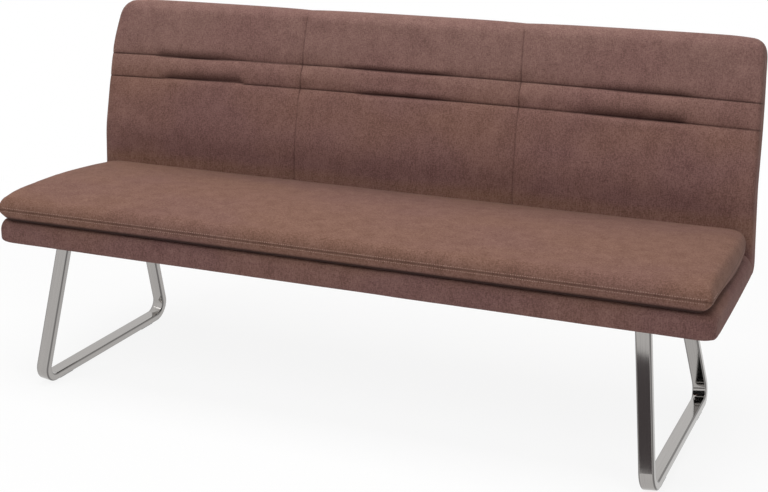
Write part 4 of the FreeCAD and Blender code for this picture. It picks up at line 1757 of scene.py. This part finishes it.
@dataclass
class InnerFrame:
    """Carried-over solids: the timber, webbing, lining, plates, glides and fasteners."""

    def finishes(self) -> dict[str, Finish]:
        """Finish of every carried-over solid.

        Returns:
            The finishes, by the start of the solid's name.
        """
        upright = PlanedWood("planed_wood_upright", grain=Grain.UPRIGHT)
        crosswise = PlanedWood("planed_wood_crosswise", grain=Grain.FRONT_TO_BACK)
        lengthwise = PlanedWood("planed_wood_lengthwise")
        return {
            "back_inner_post": upright,
            "back_outer_post": upright,
            "back_lower_rail": lengthwise,
            "back_middle_rail": lengthwise,
            "back_top_rail": lengthwise,
            "back_webbing": Webbing(),
            "seat_webbing": Webbing(),
            "seat_front_rail": lengthwise,
            "seat_rear_rail": lengthwise,
            "seat_end_rail": crosswise,
            "seat_cross_rail": crosswise,
            "seat_centre_rail": crosswise,
            "seat_corner_blocks": upright,
            "seat_dust_cloth": Fleece(),
            "skid_plate": MillSteel(),
            "skid_bolts": ZincSteel(),
            "skid_nuts": ZincSteel(),
            "post_bolts": ZincSteel(),
            "post_nuts": ZincSteel(),
            "floor_glides": GlidePlastic(),
        }

    def dress(self) -> None:
        """Give every carried-over solid its finish."""
        finishes = self.finishes()
        for name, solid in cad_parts.items():
            for start, finish in finishes.items():
                if name.startswith(start):
                    solid.data.materials.clear()
                    solid.data.materials.append(finish.material())
                    LOG.info("%s: %s", name, finish.name)


@dataclass
class Studio:
    """Pale floor, soft lamps and the camera of the photograph."""

    camera_place: Colour = (1.3824, -3.1121, 1.4411)
    camera_yaw: float = 0.408413
    camera_pitch: float = 0.300637
    camera_lens: float = 67.45
    floor_size: float = 30.0
    card_place: Colour = (0.45, -1.2, 0.175)
    card_size: Band = (0.62, 0.33)
    card_colour: Colour = (0.125, 0.110, 0.114)
    floor_colour: Colour = (0.88, 0.88, 0.88)
    floor_cloud: float = 0.98
    floor_white: float = 0.88
    floor_fades: Band = (1.4, 2.6)
    room_colour: Colour = (1.0, 0.985, 0.97)
    white: Colour = (1.0, 1.0, 1.0)
    ambient: float = 0.27

    def camera(self) -> None:
        """Stand the camera where the photograph was taken."""
        data = bpy.data.cameras.new("camera")
        data.lens = self.camera_lens
        data.sensor_fit = "HORIZONTAL"
        camera = bpy.data.objects.new("camera", data)
        camera.location = self.camera_place
        camera.rotation_euler = (math.pi / 2 - self.camera_pitch, 0.0, self.camera_yaw)
        bpy.context.scene.collection.objects.link(camera)
        bpy.context.scene.camera = camera

    def lamp(
        self,
        name: str,
        place: Colour,
        target: Colour,
        size: Band,
        watts: float,
        mirrored: bool = True,
    ) -> None:
        """Hang one soft lamp.

        Args:
            name: the lamp's name.
            place: where it hangs.
            target: point that it faces.
            size: width and height of its face.
            watts: its power.
            mirrored: whether it shows in the steel.
        """
        data = bpy.data.lights.new(name, "AREA")
        data.shape = "RECTANGLE"
        data.size, data.size_y = size
        data.energy = watts
        lamp = bpy.data.objects.new(name, data)
        lamp.location = place
        lamp.rotation_euler = (Vector(target) - Vector(place)).to_track_quat("-Z", "Y").to_euler()
        lamp.visible_glossy = mirrored
        bpy.context.scene.collection.objects.link(lamp)

    def seen(self, graph: Graph) -> Signal:
        """Mask of the rays that see the background: from the camera, off metal or through glass.

        Args:
            graph: tree that takes the nodes.

        Returns:
            The mask.
        """
        kinds = ("Camera", "Glossy", "Transmission")
        rays = [graph.add("ShaderNodeLightPath", output=f"Is {kind} Ray") for kind in kinds]
        return (rays[0] + rays[1] + rays[2]).at_most(1.0)

    def world(self) -> None:
        """Light the room softly, and show white behind the bench."""
        graph = Graph(bpy.data.worlds.new("studio"))
        sky = {"Color": self.room_colour, "Strength": self.ambient}
        room = graph.add("ShaderNodeBackground", None, sky)
        white = graph.add("ShaderNodeBackground", None, {"Color": self.white, "Strength": 1.0})
        both = graph.add("ShaderNodeMixShader", None, {0: self.seen(graph), 1: room, 2: white})
        bpy.context.scene.world = graph.end(both)

    def floor(self) -> None:
        """Lay the pale floor, which fades to white away from the bench and keeps its shadow."""
        bm = bmesh.new()
        bmesh.ops.create_grid(bm, x_segments=1, y_segments=1, size=self.floor_size)
        graph = Graph(bpy.data.materials.new("studio_floor"))
        cloud = graph.noise(1.5, 2.0)
        shade = tuple(self.floor_cloud * part for part in self.floor_colour)
        colour = graph.mix(cloud, self.floor_colour, shade)
        matt = graph.add("ShaderNodeBsdfDiffuse", None, {"Color": colour})
        white = graph.add("ShaderNodeEmission", None, {"Color": self.white, "Strength": 1.0})
        away = graph.add("ShaderNodeVectorMath", {"operation": "LENGTH"}, {0: graph.place}, "Value")
        share = self.floor_white + (1.0 - self.floor_white) * away.between(*self.floor_fades)
        both = graph.add("ShaderNodeMixShader", None, {0: self.seen(graph) * share, 1: matt, 2: white})
        add_object("floor", bm, graph.end(both))

    def dark_card(self) -> None:
        """Stand a dark card in front of the right skid, which shows only as a reflection in its steel."""
        bm = bmesh.new()
        bmesh.ops.create_grid(bm, x_segments=1, y_segments=1, size=0.5)
        bmesh.ops.scale(bm, vec=(*self.card_size, 1.0), verts=bm.verts)
        upright = Matrix.Rotation(math.pi / 2, 4, "X")
        bmesh.ops.transform(bm, matrix=Matrix.Translation(self.card_place) @ upright, verts=bm.verts)
        graph = Graph(bpy.data.materials.new("studio_card"))
        glow = graph.add("ShaderNodeEmission", None, {"Color": self.card_colour})
        card = add_object("dark_card", bm, graph.end(glow))
        for rays in ("camera", "diffuse", "transmission", "shadow"):
            setattr(card, f"visible_{rays}", False)

    def build(self) -> None:
        """Set up the whole studio."""
        bpy.context.scene.view_settings.view_transform = "Standard"
        self.camera()
        self.world()
        self.floor()
        self.dark_card()
        self.lamp("key", (-1.2, -2.8, 3.9), (0.0, 0.0, 0.5), (2.6, 1.8), 68.0)
        self.lamp("fill", (3.2, -2.6, 2.2), (0.0, 0.0, 0.5), (1.8, 1.8), 21.0)
        self.lamp("top", (0.0, -0.2, 3.6), (0.0, 0.0, 0.4), (3.4, 1.6), 84.0)
        self.lamp("rear", (0.0, 3.6, 2.4), (0.0, 0.0, 0.6), (3.0, 1.6), 26.0, mirrored=False)


def main() -> None:
    """Build and dress the bench piece by piece, then set up the studio."""
    logging.basicConfig(level=logging.INFO, format="%(name)s %(message)s")
    for part in (SeatBase(), SeatCushion(), Backrest(), Skid(Side.LEFT), Skid(Side.RIGHT)):
        part.dress(part.build())
    InnerFrame().dress()
    Studio().build()


if __name__ == "__main__":
    main()
